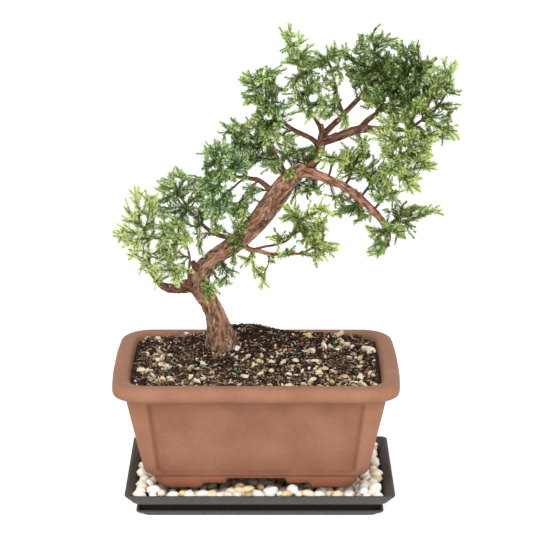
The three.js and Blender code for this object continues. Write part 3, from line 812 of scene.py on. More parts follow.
def grit(random):
    """Angular stones from 1 to 9 millimetres, alone and in clusters, but none on the heap behind the trunk: a
    ball of 32 faces pressed against a few random planes."""
    shape, faces = ball(1)
    planes = unit(np.random.default_rng(4).normal(size=(7, 3)))
    over = np.maximum((shape @ planes.T) - 0.62, 0)
    shape = shape - over @ planes
    places = on_soil(random, 150, 0.75)
    mates = places[random.integers(0, len(places), 420)]
    mates = mates + random.normal(0, 3.4, mates.shape) * [1, 1, 0.25]
    within = (np.abs(mates[:, :2] - [POT_X, 0]) < SOIL_HALF - 3).all(1)
    places = np.concatenate([places, mates[within]])
    on_heap = (np.abs(places[:, 0] + 14) < 36) & (places[:, 1] > 24)
    places = places[~on_heap]
    count = len(places)
    radius = 0.6 + 2.9 * random.random((count, 1)) ** 2.6
    sizes = radius * random.uniform([0.9, 0.65, 0.5], [1.35, 1.1, 1.0], (count, 3))
    places[:, 2] += sizes[:, 2] * 0.45
    stops = [(0.0, (0.84, 0.76, 0.58)), (0.35, (0.76, 0.62, 0.38)), (0.6, (0.56, 0.38, 0.19)),
             (0.72, (0.80, 0.76, 0.66)), (0.88, (0.34, 0.22, 0.13)), (1.0, (0.92, 0.88, 0.78))]
    finish = litter_finish("grit", stops, 0.8, 700)
    turns = random_turns(random, count)
    scatter("soil_grit", shape, faces, places, turns, sizes, finish, random.random(count))


# Fertiliser beads and bright scraps: x, y, radius and tone, where tone runs teal, green, orange, red.
BEADS = [
    (-75.5, 26, 1.4, 0.0), (-67.5, -23, 1.3, 0.05), (-41.5, -12, 1.2, 0.0), (-17.5, -19, 1.4, 0.1),
    (24.5, 11, 1.3, 0.0), (-5.5, -11, 1.3, 0.4), (-77.5, 9, 1.1, 0.7), (21, 14, 1.2, 1.0),
    (77.5, -16, 1.1, 1.0), (55, 30, 1.2, 0.05), (48, -34, 1.1, 0.4), (-10, 18, 1.0, 0.7),
    (-52, -42, 1.2, 0.1),
]


def beads(random):
    """Small round beads lying on the mix."""
    x, y, radius, tone = np.array(BEADS).T
    shape, faces = ball(2)
    places = np.stack([x, y, soil_height(x, y) + radius * 0.8], 1)
    stops = [(0.0, (0.01, 0.26, 0.17)), (0.3, (0.06, 0.30, 0.12)), (0.42, (0.55, 0.60, 0.10)),
             (0.7, (0.60, 0.18, 0.04)), (1.0, (0.45, 0.04, 0.04))]
    finish = litter_finish("bead", stops, 0.45)
    sizes = np.stack([radius, radius, radius], 1)
    turns = random_turns(random, len(BEADS))
    scatter("soil_beads", shape, faces, places, turns, sizes, finish, tone, True)


grit(litter_random)
beads(litter_random)

# %% [markdown]
# ## Wood
# The trunk rises, leans left, doubles back and climbs to the right before it forks; the branches leave it in
# long tapering curves. Curve objects with a bevel would give round pipes. Here every limb is a tube of rings
# whose radius is pushed in and out by lobes that twist along it and by fibres that are far longer than they
# are wide, as on real juniper bark.

# %% Limb paths

# Each knot is how far right and how high the limb appears against the upright plane through the middle of
# the tray as the camera sees it, then how far behind that plane it is, and its radius.
TRUNK = [
    (-28, 91, 20, 17), (-28, 98, 20, 16.5), (-28, 104, 20, 14.6), (-27.8, 112, 20, 11.6),
    (-29.7, 122, 19, 8.7), (-32, 132, 18, 6.9), (-36, 141, 16, 6.5), (-41, 150, 14, 7), (-44.5, 157, 12, 7),
    (-42, 165, 11, 6.8), (-35, 173, 10, 6.2), (-27, 179.5, 9, 5.9), (-17.5, 185.8, 7, 6), (-9, 194.3, 5, 6.4),
    (-0.8, 203.5, 4, 6.8), (6.2, 212.8, 3, 7.2), (12, 221.2, 3, 7.3), (17.5, 229, 4, 6.8), (24, 236, 5, 5.6),
    (31, 240.5, 6, 4.6), (38, 243.5, 6, 3),
]
LIMBS = {
    "leader": [
        (23, 236, 7, 5), (33, 241, 10, 3.8), (39, 247, 12, 3.3), (42, 254, 12, 3.2), (43.5, 261, 12, 3.2),
        (44, 266, 12.5, 2.2)],
    "arch": [
        (22, 236, 5, 4.4), (27, 238, 5, 4), (35, 237.8, 2, 3.6), (43, 235.5, -2, 3.2), (51, 232, -5, 3),
        (59, 228.5, -8, 2.9), (66.5, 223, -10, 2.9), (74, 216.5, -13, 2.8), (81, 210, -15, 2.6),
        (86, 204, -17, 2.4), (90, 197.5, -19, 2.3), (92, 191, -20, 2.0), (92, 187, -20, 1.2)],
    "right": [
        (41, 256, 12, 3.2), (43.5, 260, 12, 3.2), (50, 262.5, 9, 3.1), (57, 265, 6, 3), (64, 267.8, 3, 2.9),
        (72, 269.8, 0, 2.7), (80, 269.5, -3, 2.4), (88, 269.5, -6, 2.1), (95, 270, -9, 1.8),
        (102, 269, -12, 1.5), (108, 271.5, -14, 1.2), (114, 276, -14, 0.8)],
    "right_back": [
        (71, 270, 1, 2.2), (76, 276, 7, 2), (82, 280.5, 13, 1.7), (89, 286, 19, 1.4), (98, 293, 25, 1.1),
        (106, 302, 29, 0.7)],
    "crown": [
        (43, 259, 12.5, 2.9), (43.5, 263, 13, 2.5), (47, 268, 15, 2.2), (52.5, 273.5, 18, 2),
        (58, 279, 20, 1.8), (62, 283.5, 22, 1.8), (67, 289, 24, 1.7), (71.5, 293.5, 26, 1.5),
        (76, 301, 26, 1.2), (79, 311, 24, 0.9), (80, 322, 21, 0.6)],
    "crown_mid": [
        (59, 280, 21, 1.3), (57, 286, 16, 1), (54.5, 293, 10, 0.9), (52.5, 301, 6, 0.7), (51, 310, 8, 0.6)],
    "plume": [
        (44, 262, 13, 2.2), (44, 265, 13, 1.8), (41.5, 273, 12, 1.4), (37, 281, 9, 1.2),
        (33.5, 291, 5, 1.1), (31, 303, 3, 0.9), (27.5, 315, 0, 0.8), (23.5, 327, -4, 0.6)],
    "upper_left": [
        (43, 256, 12, 2.4), (42, 258, 11, 2), (37, 262.5, 7, 1.8), (31, 265.8, 3, 1.6),
        (25, 268.5, -1, 1.5), (19, 272.5, -4, 1.4), (13, 276, -7, 1.2), (8, 281, -9, 1), (5, 290, -9, 0.8),
        (4, 299, -8, 0.6)],
    "inner_left": [
        (20, 233, 5, 2.2), (19, 236, 6, 1.8), (15.5, 243, 11, 1.5), (12.5, 249, 14, 1.3),
        (7.5, 256, 17, 1.1), (0, 261, 19, 0.9), (-10, 264, 20, 0.7)],
    "left": [
        (9, 225, 2, 2.6), (5, 228, 0, 2), (-1, 232.5, -4, 1.7), (-8, 234, -7, 1.5), (-16, 235, -11, 1.2),
        (-24, 238, -14, 1), (-30, 244, -14, 0.7)],
    "back_left": [
        (-7, 197, 6, 2.8), (-11, 193.5, 8, 2.2), (-20, 191, 13, 1.8), (-28, 191.5, 17, 1.6),
        (-36, 195.5, 20, 1.4), (-44, 203, 21, 1.1), (-51, 212, 21, 0.9), (-57, 222, 21, 0.7)],
    "low_left": [
        (-38, 154, 13, 6.4), (-43, 155, 12, 6), (-51, 154.5, 8, 5), (-59, 153, 3, 4), (-67, 153, -3, 3),
        (-73, 157, -9, 2), (-78, 165, -15, 1.5), (-80, 176, -19, 1.1), (-80, 188, -20, 0.8)],
    "low_left_twig": [
        (-49, 153, 7, 1.6), (-51, 157, 4, 1.2), (-51, 166, 1, 1), (-50.5, 176, -3, 0.9), (-53, 186, -8, 0.7)],
    "low_right": [
        (-19, 187, 6, 2.6), (-15, 187, 5, 2), (-8, 182, 0, 1.8), (0, 180.2, -4, 1.6), (8, 178, -8, 1.4),
        (16, 177.8, -12, 1.3), (24, 178, -16, 1.1), (31, 179, -20, 1), (38, 183, -25, 0.8)],
    "low_right_up": [
        (-8, 182, 0, 1.2), (-5, 181.5, -2, 1), (3, 183.5, -6, 0.9), (11, 185, -10, 0.9),
        (19, 188, -13, 0.8), (24, 194, -16, 0.7), (27, 201, -18, 0.6)],
    "right_drop": [
        (89, 269.5, -6.5, 1.8), (90, 268.5, -7, 1.4), (95, 263.5, -14, 1.2), (99.5, 257, -20, 1.1),
        (98.5, 248, -26, 0.9), (98, 239, -28, 0.6)],
    "stub_low": [
        (-43, 163, 10, 3.6), (-46, 168, 6, 2.6), (-48, 172, 3, 1.9)],
    "stub_fork": [
        (33, 241, 6, 3.6), (38, 245, 4, 2.8), (41, 247.5, 2, 2.2)],
    "stub_high": [
        (43.5, 260, 12, 2.8), (44, 267, 11, 2.3), (43, 273, 10, 1.7)],
    "root_front": [
        (-25, 109, 22, 3.4), (-29, 105.5, 20, 2.2), (-33.5, 103.2, 16, 1.4), (-40, 101.6, 12, 1.1),
        (-46, 99.8, 6.5, 1.0), (-53, 97.6, 3, 0.7)],
    "root_right": [
        (-26, 113, 20, 5.4), (-17, 108, 22, 4.4), (-8, 103, 24, 2.8), (-2, 99, 24, 1.4)],
    "root_left": [
        (-30, 110, 20, 5.6), (-39, 101, 17, 4.2), (-46, 96.5, 12, 2.4), (-51, 94, 8, 1.2)],
}



def knots_of(limb):
    """The knots of the trunk or of a limb, by name."""
    return TRUNK if limb == "trunk" else LIMBS[limb]


print("the trunk has", len(TRUNK), "knots and carries", len(LIMBS), "limbs, stubs and roots")

# %% Tubes along a path


def in_place(knots):
    """Slides each knot along the camera's line of sight: P = C + (Q - C)(1 + depth / camera distance), where
    Q is the point seen on the upright plane. Radii grow by the same factor."""
    right, high, depth, radius = np.array(knots, float).T
    factor = 1 - depth / CAMERA_AT[1]
    x = CAMERA_AT[0] + (right - CAMERA_AT[0]) * factor
    z = CAMERA_AT[2] + (high - CAMERA_AT[2]) * factor
    return np.stack([x, depth, z, radius * factor], 1)


def smooth_path(knots, step):
    """A Catmull-Rom curve through the knots, radius included, in even steps of the given length."""
    ends = np.concatenate([[2 * knots[0] - knots[1]], knots, [2 * knots[-1] - knots[-2]]])
    t = np.linspace(0, len(knots) - 1, 40 * (len(knots) - 1) + 1)
    piece = np.minimum(t.astype(int), len(knots) - 2)
    u = (t - piece)[:, None]
    a, b, c, d = (ends[piece + offset] for offset in range(4))
    square, cube = 2 * a - 5 * b + 4 * c - d, 3 * b - a - 3 * c + d
    fine = 0.5 * (2 * b + (c - a) * u + square * u ** 2 + cube * u ** 3)
    along = np.concatenate([[0], np.cumsum(np.linalg.norm(np.diff(fine[:, :3], axis=0), axis=1))])
    even = np.linspace(0, along[-1], max(4, int(along[-1] / step) + 1))
    return np.stack([np.interp(even, along, column) for column in fine.T], 1), even


def spokes(angle, side, up):
    """Directions round a path: cos(angle) * side + sin(angle) * up, one row of them for each row of side."""
    return np.cos(angle)[None, :, None] * side[:, None] + np.sin(angle)[None, :, None] * up[:, None]


def tube(path, angle, swell):
    """Rings square to the path: centre + radius * swell * (cos a * side + sin a * up), where side is the
    path's direction crossed with the depth axis."""
    centre, radius = path[:, :3], path[:, 3]
    ahead = unit(np.gradient(centre, axis=0))
    side = unit(np.cross(ahead, [0.0, 1.0, 0.0]))
    spoke = spokes(angle, side, np.cross(side, ahead))
    return (centre[:, None] + spoke * (radius[:, None] * swell)[..., None])[:, ::-1]


print("the trunk is", round(smooth_path(in_place(TRUNK), 1.0)[1][-1]), "mm long")

# %% Bark


def fibres(along, angle, radius, seed, stretch):
    """Bark relief from 0 to 1: noise wrapped round the limb, so that it has no seam, and drawn out along
    it."""
    turned = angle[None] + along[:, None] * 0.022
    across = np.stack([np.cos(turned), np.sin(turned)], -1) * (radius[:, None, None] * 0.42 + 1.2)
    place = np.concatenate([across, np.broadcast_to(along[:, None, None] / stretch, (*turned.shape, 1))], -1)
    return rough_noise(place + 20, seed, 3)


def bark_finish(name, deep, middle, high, wear_and_light):
    """Bark by depth: dark in the fissures, mid tone, then pale on the ridges; older wood is greyer and torn
    places are raw orange."""
    finish = new_finish(name, 0.88, 0.2)
    fine = noise(finish, 1100, 8, roughness=0.8)
    level = math_node(finish, "ADD", attribute(finish, "ridge"), math_node(finish, "MULTIPLY", fine, 1.3))
    level = math_node(finish, "SUBTRACT", level, 0.67)
    young = ramp(finish, level, [(0.10, deep), (0.45, middle), (0.86, high)])
    old = ramp(finish, level, [(0.10, (0.036, 0.020, 0.015)), (0.45, wear_and_light), (0.86, (0.21, 0.135, 0.105))])
    raw = ramp(finish, level, [(0.2, (0.16, 0.055, 0.018)), (0.55, (0.40, 0.15, 0.04)),
                               (0.8, (0.58, 0.30, 0.12))])
    aged = blend(finish, attribute(finish, "age"), young, old)
    dress(finish, blend(finish, attribute(finish, "torn"), aged, raw), level, 0.0007, 0.8)
    return finish


OLD_BARK = bark_finish("bark", (0.100, 0.042, 0.024), (0.310, 0.160, 0.100), (0.58, 0.36, 0.25),
                       (0.100, 0.054, 0.040))
YOUNG_BARK = bark_finish("young_bark", (0.055, 0.020, 0.012), (0.165, 0.070, 0.042), (0.36, 0.20, 0.135),
                         (0.16, 0.085, 0.060))
RED_BARK = bark_finish("red_bark", (0.110, 0.035, 0.020), (0.360, 0.155, 0.095), (0.66, 0.40, 0.29),
                       (0.30, 0.15, 0.10))
print("barks:", OLD_BARK.name, YOUNG_BARK.name, RED_BARK.name)

# %% Trunk and limbs


def wood_piece(name, knots, around, step, finish, nodes, seed, relief, lobes, torn_at, old_below):
    """One limb: lobes twist round it and fibres stand on it. Each torn place, given by how far along the limb
    it is, its angle in degrees and its size, is a soft spot of raw wood. Below one height the bark is old."""
    path, along = smooth_path(in_place(knots), step)
    path[:, 3] = np.maximum(path[:, 3], 0.3)
    angle = np.linspace(0, 2 * np.pi, around, endpoint=False)
    turned = angle[None] + along[:, None] * 0.028
    radius = path[:, 3]
    ridge = ease(0.05, 0.90, fibres(along, angle, radius, seed, 13.0))
    flakes = ease(0.25, 0.80, fibres(along, angle, radius * 1.6, seed + 40, 3.4))
    waves = np.cos(3 * turned + seed) * 0.55 + np.cos(5 * turned - along[:, None] * 0.05) * 0.3
    depth = np.minimum(relief, 0.13 * radius + 0.12)[:, None]
    swell = 1 + lobes * waves + depth * (ridge - 0.5 + 0.8 * (flakes - 0.5)) / radius[:, None]
    points, faces = close_stack(tube(path, angle, swell))
    torn = np.zeros(ridge.shape)
    for at, where, size in torn_at:
        off = np.angle(np.exp(1j * (angle[None] - math.radians(where)))) * radius[:, None]
        torn = np.maximum(torn, np.exp(-((along[:, None] - at) ** 2 * 0.5 + off ** 2) / size ** 2))
    torn = np.clip(torn * 1.3, 0, 1) * ease(0.1, 0.5, flakes * 0.5 + ridge * 0.5)
    age = ease(old_below + 24, old_below, path[:, 2:3]) * np.ones(ridge.shape) * 0.85
    tones = {"ridge": 0.5 * ridge + 0.5 * flakes, "torn": torn, "age": age}
    tones = {key: np.append(values[:, ::-1].ravel(), [0.3, 0.3]) for key, values in tones.items()}
    make_piece(name, points, faces, finish, nodes, tones=tones)


def node_of(kind, name):
    """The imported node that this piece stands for, if there is one."""
    node = f"{kind}_{name}"
    return [node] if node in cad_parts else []


TORN = [(121, 335, 4.6), (128, 325, 6.0), (135, 340, 5.4), (141, 330, 3.8), (182, 300, 4.0)]
wood_piece("trunk_wood", TRUNK, 112, 0.45, OLD_BARK, ["trunk"], 3, 1.25, 0.10, TORN, 96)
for number, (limb, limb_knots) in enumerate(LIMBS.items()):
    bark, slot, old_below = YOUNG_BARK, "young_bark", 0
    if limb in ("arch", "low_right"):
        bark = RED_BARK
    if limb.startswith("root"):
        bark, slot, old_below = OLD_BARK, "bark", 108
    wood_piece(f"wood_{limb}", limb_knots, 36, 0.9, bark, node_of("branch", limb),
               11 + number, 0.7, 0.07, (), old_below)

# %% [markdown]
# ## Shaggy bark
# Juniper bark peels in short strips. Relief alone cannot stand free of the trunk, so loose strips lie along
# it, each turned a little off the limb's own direction.

# %% Bark strips
STRIPPED = {"trunk": 2300, "low_left": 420, "arch": 220, "right": 160, "leader": 100, "crown": 90}


def bark_strips(random):
    """Loose strips of bark: each lies on a limb's skin, along it, turned off it by a small random angle."""
    places, turns, sizes = [], [], []
    for limb, count in STRIPPED.items():
        path, _ = smooth_path(in_place(knots_of(limb)), 0.8)
        ahead = unit(np.gradient(path[:, :3], axis=0))
        row = random.integers(0, len(path), count)
        ahead, radius = ahead[row], path[row, 3]
        side = unit(np.cross(ahead, [0.0, 1.0, 0.0]))
        angle = random.uniform(0, 2 * np.pi, count)
        out = np.cos(angle)[:, None] * side + np.sin(angle)[:, None] * np.cross(side, ahead)
        turn = random.normal(0, 0.3, count)[:, None]
        lifted = out * random.uniform(-0.1, 0.2, (count, 1))
        along = unit(ahead * np.cos(turn) + np.cross(out, ahead) * np.sin(turn) + lifted)
        across = unit(np.cross(out, along))
        places.append(path[row, :3] + out * (radius * random.uniform(0.97, 1.06, count))[:, None])
        turns.append(np.stack([along, across, np.cross(along, across)], 1))
        length = random.uniform(1.0, 3.4, count) * np.minimum(1, radius / 4)
        width = random.uniform(0.15, 0.5, count)
        sizes.append(np.stack([length, width, random.uniform(0.12, 0.25, count)], 1))
    shape, faces = splinter()
    stops = [(0.0, (0.050, 0.022, 0.013)), (0.25, (0.16, 0.076, 0.045)), (0.6, (0.32, 0.17, 0.11)),
             (0.88, (0.52, 0.33, 0.23)), (1.0, (0.76, 0.60, 0.46))]
    finish = litter_finish("bark_strip", stops)
    places, turns, sizes = (np.concatenate(parts) for parts in (places, turns, sizes))
    scatter("bark_strips", shape, faces, places, turns, sizes, finish, random.random(len(places)))


bark_strips(np.random.default_rng(SEED + 2))

# %% [markdown]
# ## Twigs and needles
# Foliage is where a juniper is won or lost. Spheres of leaf texture look like topiary, and a particle system
# leaves the needles hanging in the air. Here each pad is a cloud of points that twigs grow towards, the way
# shoots share out the light: every free point pulls its nearest twig end, the twig takes a short step, and
# points that it has reached are dropped. Needles then stand in whorls on every young stretch of twig.

# %% Foliage pads

# For each pad: the limbs that it grows from, the way that its shoots tend, how cool and how bright its green
# is and how far apart its shoots stand, and its clumps. A clump is given like a limb knot: how far right,
# how high, how deep, then its radius.
PADS = {
    "low_left": (("low_left", "low_left_twig"), (-0.45, 0, 0.35), (0.3, 0.27, 4.2), [
        (-95, 193, -22, 8), (-86, 187, -28, 8), (-80, 198, -15, 9), (-89, 206, -12, 7), (-86, 217, -8, 8),
        (-78, 211, -18, 7), (-83, 177, -30, 8), (-79, 168, -34, 7), (-74, 161, -28, 6), (-70, 178, -22, 9),
        (-70, 190, -30, 9), (-64, 169, -20, 7), (-60, 162, -28, 6), (-57, 166, -8, 6), (-61, 181, -5, 8),
        (-55, 190, -15, 8), (-62, 196, -2, 9)]),
    "back_left": (("back_left",), (-0.3, 0, 0.6), (0.6, 0.08, 4.4), [
        (-69, 212, 25, 9), (-68, 227, 30, 6), (-60, 222, 20, 8), (-56, 234, 24, 6), (-62, 230, 16, 5),
        (-52, 214, 12, 9), (-47, 226, 22, 9), (-58, 204, 10, 8), (-45, 206, 18, 8), (-43, 196, 14, 6),
        (-35, 205, 26, 7), (-40, 218, 6, 10), (-30, 196, 12, 6), (-43, 185, 8, 5)]),
    "left": (("left",), (-0.4, 0, 0.5), (0.85, -0.02, 3.7), [
        (-33, 228, -14, 9), (-25, 220, -8, 8), (-33, 240, -16, 9), (-24, 236, -24, 8), (-31, 251, -6, 8),
        (-36, 252, 8, 6), (-24, 247, -18, 9), (-15, 243, -22, 8), (-14, 213, -6, 6), (-30, 212, -20, 7)]),
    "inner_left": (("inner_left",), (-0.3, 0, 0.6), (0.6, 0, 3.7), [
        (-20, 268, 22, 6), (-12, 268, 16, 8), (-14, 257, 26, 8), (-4, 258, 18, 9), (4, 265, 24, 8),
        (6, 252, 14, 8), (-6, 248, 10, 7), (9, 243, 8, 6), (-2, 272, 28, 6)]),
    "upper_left": (("upper_left",), (-0.2, 0, 0.6), (0.4, 0, 3.7), [
        (5, 278, -8, 8), (12, 283, -14, 8), (3, 290, -6, 8), (8, 297, -12, 8), (-5, 303, -2, 6),
        (-4, 292, -14, 6), (2, 306, -10, 6), (9, 308, -4, 6), (8, 268, -16, 7), (15, 275, -4, 6),
        (18, 262, 2, 5)]),
    "plume": (("plume",), (-0.1, 0, 0.7), (0.5, 0.12, 3.7), [
        (35, 283, 6, 7), (42, 287, -2, 6), (30, 290, -4, 8), (27, 300, 2, 8), (36, 298, 8, 7),
        (32, 310, 4, 8), (27, 318, 0, 7), (23, 328, -4, 7), (20, 335, -6, 6), (31, 322, 8, 6)]),
    "crown_mid": (("crown_mid",), (0, 0, 0.7), (0.35, 0.03, 3.7), [
        (50, 284, 10, 6), (54, 292, 6, 5), (50, 303, 2, 6), (54, 311, 6, 6), (46, 319, 10, 6),
        (52, 324, 14, 5), (41, 316, 16, 5), (60, 277, 4, 4)]),
    "crown": (("crown",), (0.1, 0, 0.7), (0.5, -0.12, 4.4), [
        (70, 302, 26, 8), (66, 312, 30, 8), (61, 322, 34, 6), (74, 316, 28, 8), (80, 309, 22, 8),
        (79, 322, 20, 8), (80, 334, 16, 7), (88, 330, 22, 6), (72, 328, 24, 6), (88, 316, 28, 7),
        (90, 303, 30, 9), (76, 292, 28, 8)]),
    "right_back": (("right_back",), (0.4, 0, 0.5), (0.4, -0.13, 4.1), [
        (84, 290, 20, 9), (94, 296, 34, 10), (92, 283, 16, 8), (102, 308, 30, 9), (100, 322, 36, 6),
        (107, 322, 26, 8), (114, 314, 32, 8), (108, 302, 18, 10), (104, 288, 8, 9), (118, 300, 38, 9),
        (116, 290, 20, 8)]),
    "crown_back": (("right_back", "crown"), (0.3, 0, 0.5), (0.45, -0.1, 3.7), [
        (80, 300, 38, 8), (88, 302, 46, 9), (97, 312, 48, 9), (106, 300, 48, 9), (97, 288, 40, 8),
        (108, 289, 40, 7), (88, 314, 44, 7), (72, 308, 38, 6), (112, 312, 46, 7)]),
    "right": (("right",), (0.55, 0, 0.3), (0.3, 0.06, 3.9), [
        (113, 283, -10, 8), (122, 291, -4, 8), (124, 304, 8, 8), (131, 311, 2, 7), (129, 299, -8, 7),
        (131, 284, -14, 7), (121, 277, -18, 7), (126, 268, -22, 7), (133, 269, -14, 6), (115, 266, -26, 6),
        (104, 276, -14, 7), (92, 272, -12, 7)]),
    "right_drop": (("right_drop",), (0.5, 0, 0.1), (0.2, 0.14, 3.7), [
        (88, 264, -22, 6), (96, 262, -30, 7), (106, 262, -34, 7), (116, 257, -30, 6), (92, 253, -26, 7),
        (102, 250, -36, 8), (112, 248, -38, 7), (118, 243, -32, 5), (95, 240, -28, 7), (103, 238, -24, 7),
        (106, 231, -30, 6)]),
    "arch_top": (("arch",), (0.1, 0, 0.6), (0.3, 0.06, 3.7), [
        (50, 248, -6, 6), (57, 246, -14, 7), (64, 249, -8, 7), (73, 250, -2, 6), (72, 259, 0, 5),
        (62, 239, -4, 6), (75, 238, -2, 7), (68, 243, -10, 6), (80, 230, -10, 7), (84, 238, -6, 7),
        (88, 229, -14, 7), (85, 220, -18, 7), (94, 222, -8, 6)]),
    "arch_low": (("arch",), (0.1, 0, -0.5), (0.3, -0.04, 3.7), [
        (68, 213, -2, 7), (61, 211, -8, 6), (74, 206, -4, 5), (63, 219, 2, 4), (54, 221, 0, 4)]),
    "arch_end": (("arch",), (0.6, 0, 0.0), (0.3, 0, 3.7), [
        (97, 207, -22, 7), (106, 208, -26, 7), (115, 209, -30, 6), (122, 209, -32, 4), (102, 198, -24, 7),
        (96, 196, -30, 6), (84, 195, -20, 5), (86, 186, -26, 6), (85, 180, -28, 5)]),
    "trunk_top": (("leader", "arch"), (0, 0.2, 0.4), (0.35, -0.1, 3.7), [
        (34, 229, 10, 7), (40, 226, 14, 4), (25, 222, 4, 3), (22, 237, -6, 4), (30, 250, 18, 8),
        (20, 251, 20, 7), (37, 252, 22, 6)]),
    "low_right": (("low_right", "low_right_up"), (0.5, 0, 0.3), (0.1, 0.12, 3.2), [
        (14, 188, -12, 4), (24, 207, -20, 6), (28, 199, -16, 6), (35, 207, -26, 5), (43, 211, -30, 5),
        (34, 193, -24, 6), (42, 199, -28, 5), (40, 187, -30, 5), (47, 183, -32, 5), (40, 177, -30, 4),
        (18, 178, -14, 4), (8, 177, -10, 3), (-8, 174, -4, 4), (-3, 167, -8, 4), (2, 160, -12, 3.5)]),
    "trunk_front": (("trunk", "back_left"), (-0.1, -0.3, -0.2), (0.5, 0.02, 3.7), [
        (-15, 197, -4, 6), (-17, 187, -6, 5), (-15, 208, 0, 6), (-19, 174, -2, 4), (-22, 166, -4, 3.5),
        (-28, 158, -6, 4), (-37, 153, -2, 6), (-32, 170, 6, 5), (-5, 226, 10, 5), (-10, 214, 6, 5)]),
}
print(len(PADS), "pads,", sum(len(pad[3]) for pad in PADS.values()), "clumps")

# %% Where twigs start and what they reach for
POINTS_PER_CLUMP = 56
START_SPACING = 12.0


def pad_points(random, clumps):
    """Free points inside every clump, and inside a smaller twin of it nearer to or farther from the camera,
    so that the pad is as deep as it is wide."""
    balls = in_place(clumps)
    shift = random.choice([-1, 1], len(balls)) * random.uniform(9, 19, len(balls))
    twins = np.array(clumps, float)
    twins[:, 2] += shift
    twins[:, 3] *= 0.8
    twins = np.repeat(in_place(twins), POINTS_PER_CLUMP // 2, 0)
    balls = np.concatenate([np.repeat(balls, POINTS_PER_CLUMP, 0), twins])
    reach = balls[:, 3:4] * 0.95 * random.random((len(balls), 1)) ** (1 / 3)
    return balls[:, :3] + unit(random.normal(size=(len(balls), 3))) * reach


def starting_points(limbs, cloud):
    """Places along the pad's own limbs that lie near its clumps, with the limb's direction there."""
    places, aheads = [], []
    for limb in limbs:
        path, _ = smooth_path(in_place(knots_of(limb)), START_SPACING)
        near = np.linalg.norm(path[:, None, :3] - cloud[None, ::5], axis=2).min(1) < 30
        near[-1] = True
        places.append(path[near, :3])
        aheads.append(unit(np.gradient(path[:, :3], axis=0))[near])
    return np.concatenate(places), np.concatenate(aheads)


print(POINTS_PER_CLUMP + POINTS_PER_CLUMP // 2, "free points for each clump and its twin")

# %% Growing the twigs
STEP = 2.0
GROWTH_ROUNDS = 60
TIP_STEPS = 3


def grow(random, cloud, nodes, ways, lift, spread):
    """Space colonisation. In each round every free point pulls the nearest node; a pulled node puts out one
    child in direction unit(mean pull + its own direction + lift + a little chance). At the end every tip runs
    straight on for a few steps."""
    parent = np.full(len(nodes), -1)
    rounds = [np.arange(len(nodes))]
    nearest = np.full(len(cloud), -1)
    distance = np.full(len(cloud), np.inf)
    children = np.zeros(len(nodes), int)
    fresh = np.arange(len(nodes))
    for _ in range(GROWTH_ROUNDS):
        gaps = np.linalg.norm(cloud[:, None] - nodes[None, fresh], axis=2)
        closer = gaps.min(1) < distance
        distance = np.where(closer, gaps.min(1), distance)
        nearest = np.where(closer, fresh[gaps.argmin(1)], nearest)
        free = distance > spread
        cloud, nearest, distance = cloud[free], nearest[free], distance[free]
        pull = np.zeros((len(nodes), 3))
        np.add.at(pull, nearest, unit(cloud - nodes[nearest]))
        pulled = np.unique(nearest)
        pulled = pulled[children[pulled] < 3]
        if len(pulled) == 0:
            break
        chance = random.normal(0, 0.1, (len(pulled), 3))
        way = unit(unit(pull[pulled]) + ways[pulled] + 0.4 * lift + chance)
        children[pulled] += 1
        fresh = np.arange(len(nodes), len(nodes) + len(pulled))
        nodes = np.concatenate([nodes, nodes[pulled] + STEP * way])
        ways = np.concatenate([ways, way])
        parent = np.concatenate([parent, pulled])
        children = np.concatenate([children, np.zeros(len(pulled), int)])
        rounds.append(fresh)
    for _ in range(TIP_STEPS):
        ends = np.setdiff1d(np.flatnonzero(parent >= 0), parent)
        way = unit(ways[ends] + 0.12 * lift + random.normal(0, 0.05, (len(ends), 3)))
        rounds.append(np.arange(len(nodes), len(nodes) + len(ends)))
        nodes = np.concatenate([nodes, nodes[ends] + STEP * way])
        ways = np.concatenate([ways, way])
        parent = np.concatenate([parent, ends])
    return nodes, ways, parent, rounds


def measure(parent, rounds, count):
    """From the tips back: how many tips each node carries, and how far its farthest tip is."""
    tips, far = np.zeros(count), np.zeros(count)
    has_child = np.zeros(count, bool)
    has_child[parent[parent >= 0]] = True
    tips[~has_child] = 1
    for batch in rounds[:0:-1]:
        np.add.at(tips, parent[batch], tips[batch])
        np.maximum.at(far, parent[batch], far[batch] + STEP)
    return tips, far


print("a twig grows by", STEP, "mm in each of at most", GROWTH_ROUNDS, "rounds")

# %% Twig skin
SIDES = 5


def twig_frames(ways, parent, rounds):
    """A side vector for each node, carried along from its parent so that a twig's skin never twists."""
    side = unit(np.cross(ways, [0.0, 1.0, 0.2]))
    for batch in rounds[1:]:
        carried = side[parent[batch]]
        side[batch] = unit(carried - (carried * ways[batch]).sum(1, keepdims=True) * ways[batch])
    return side


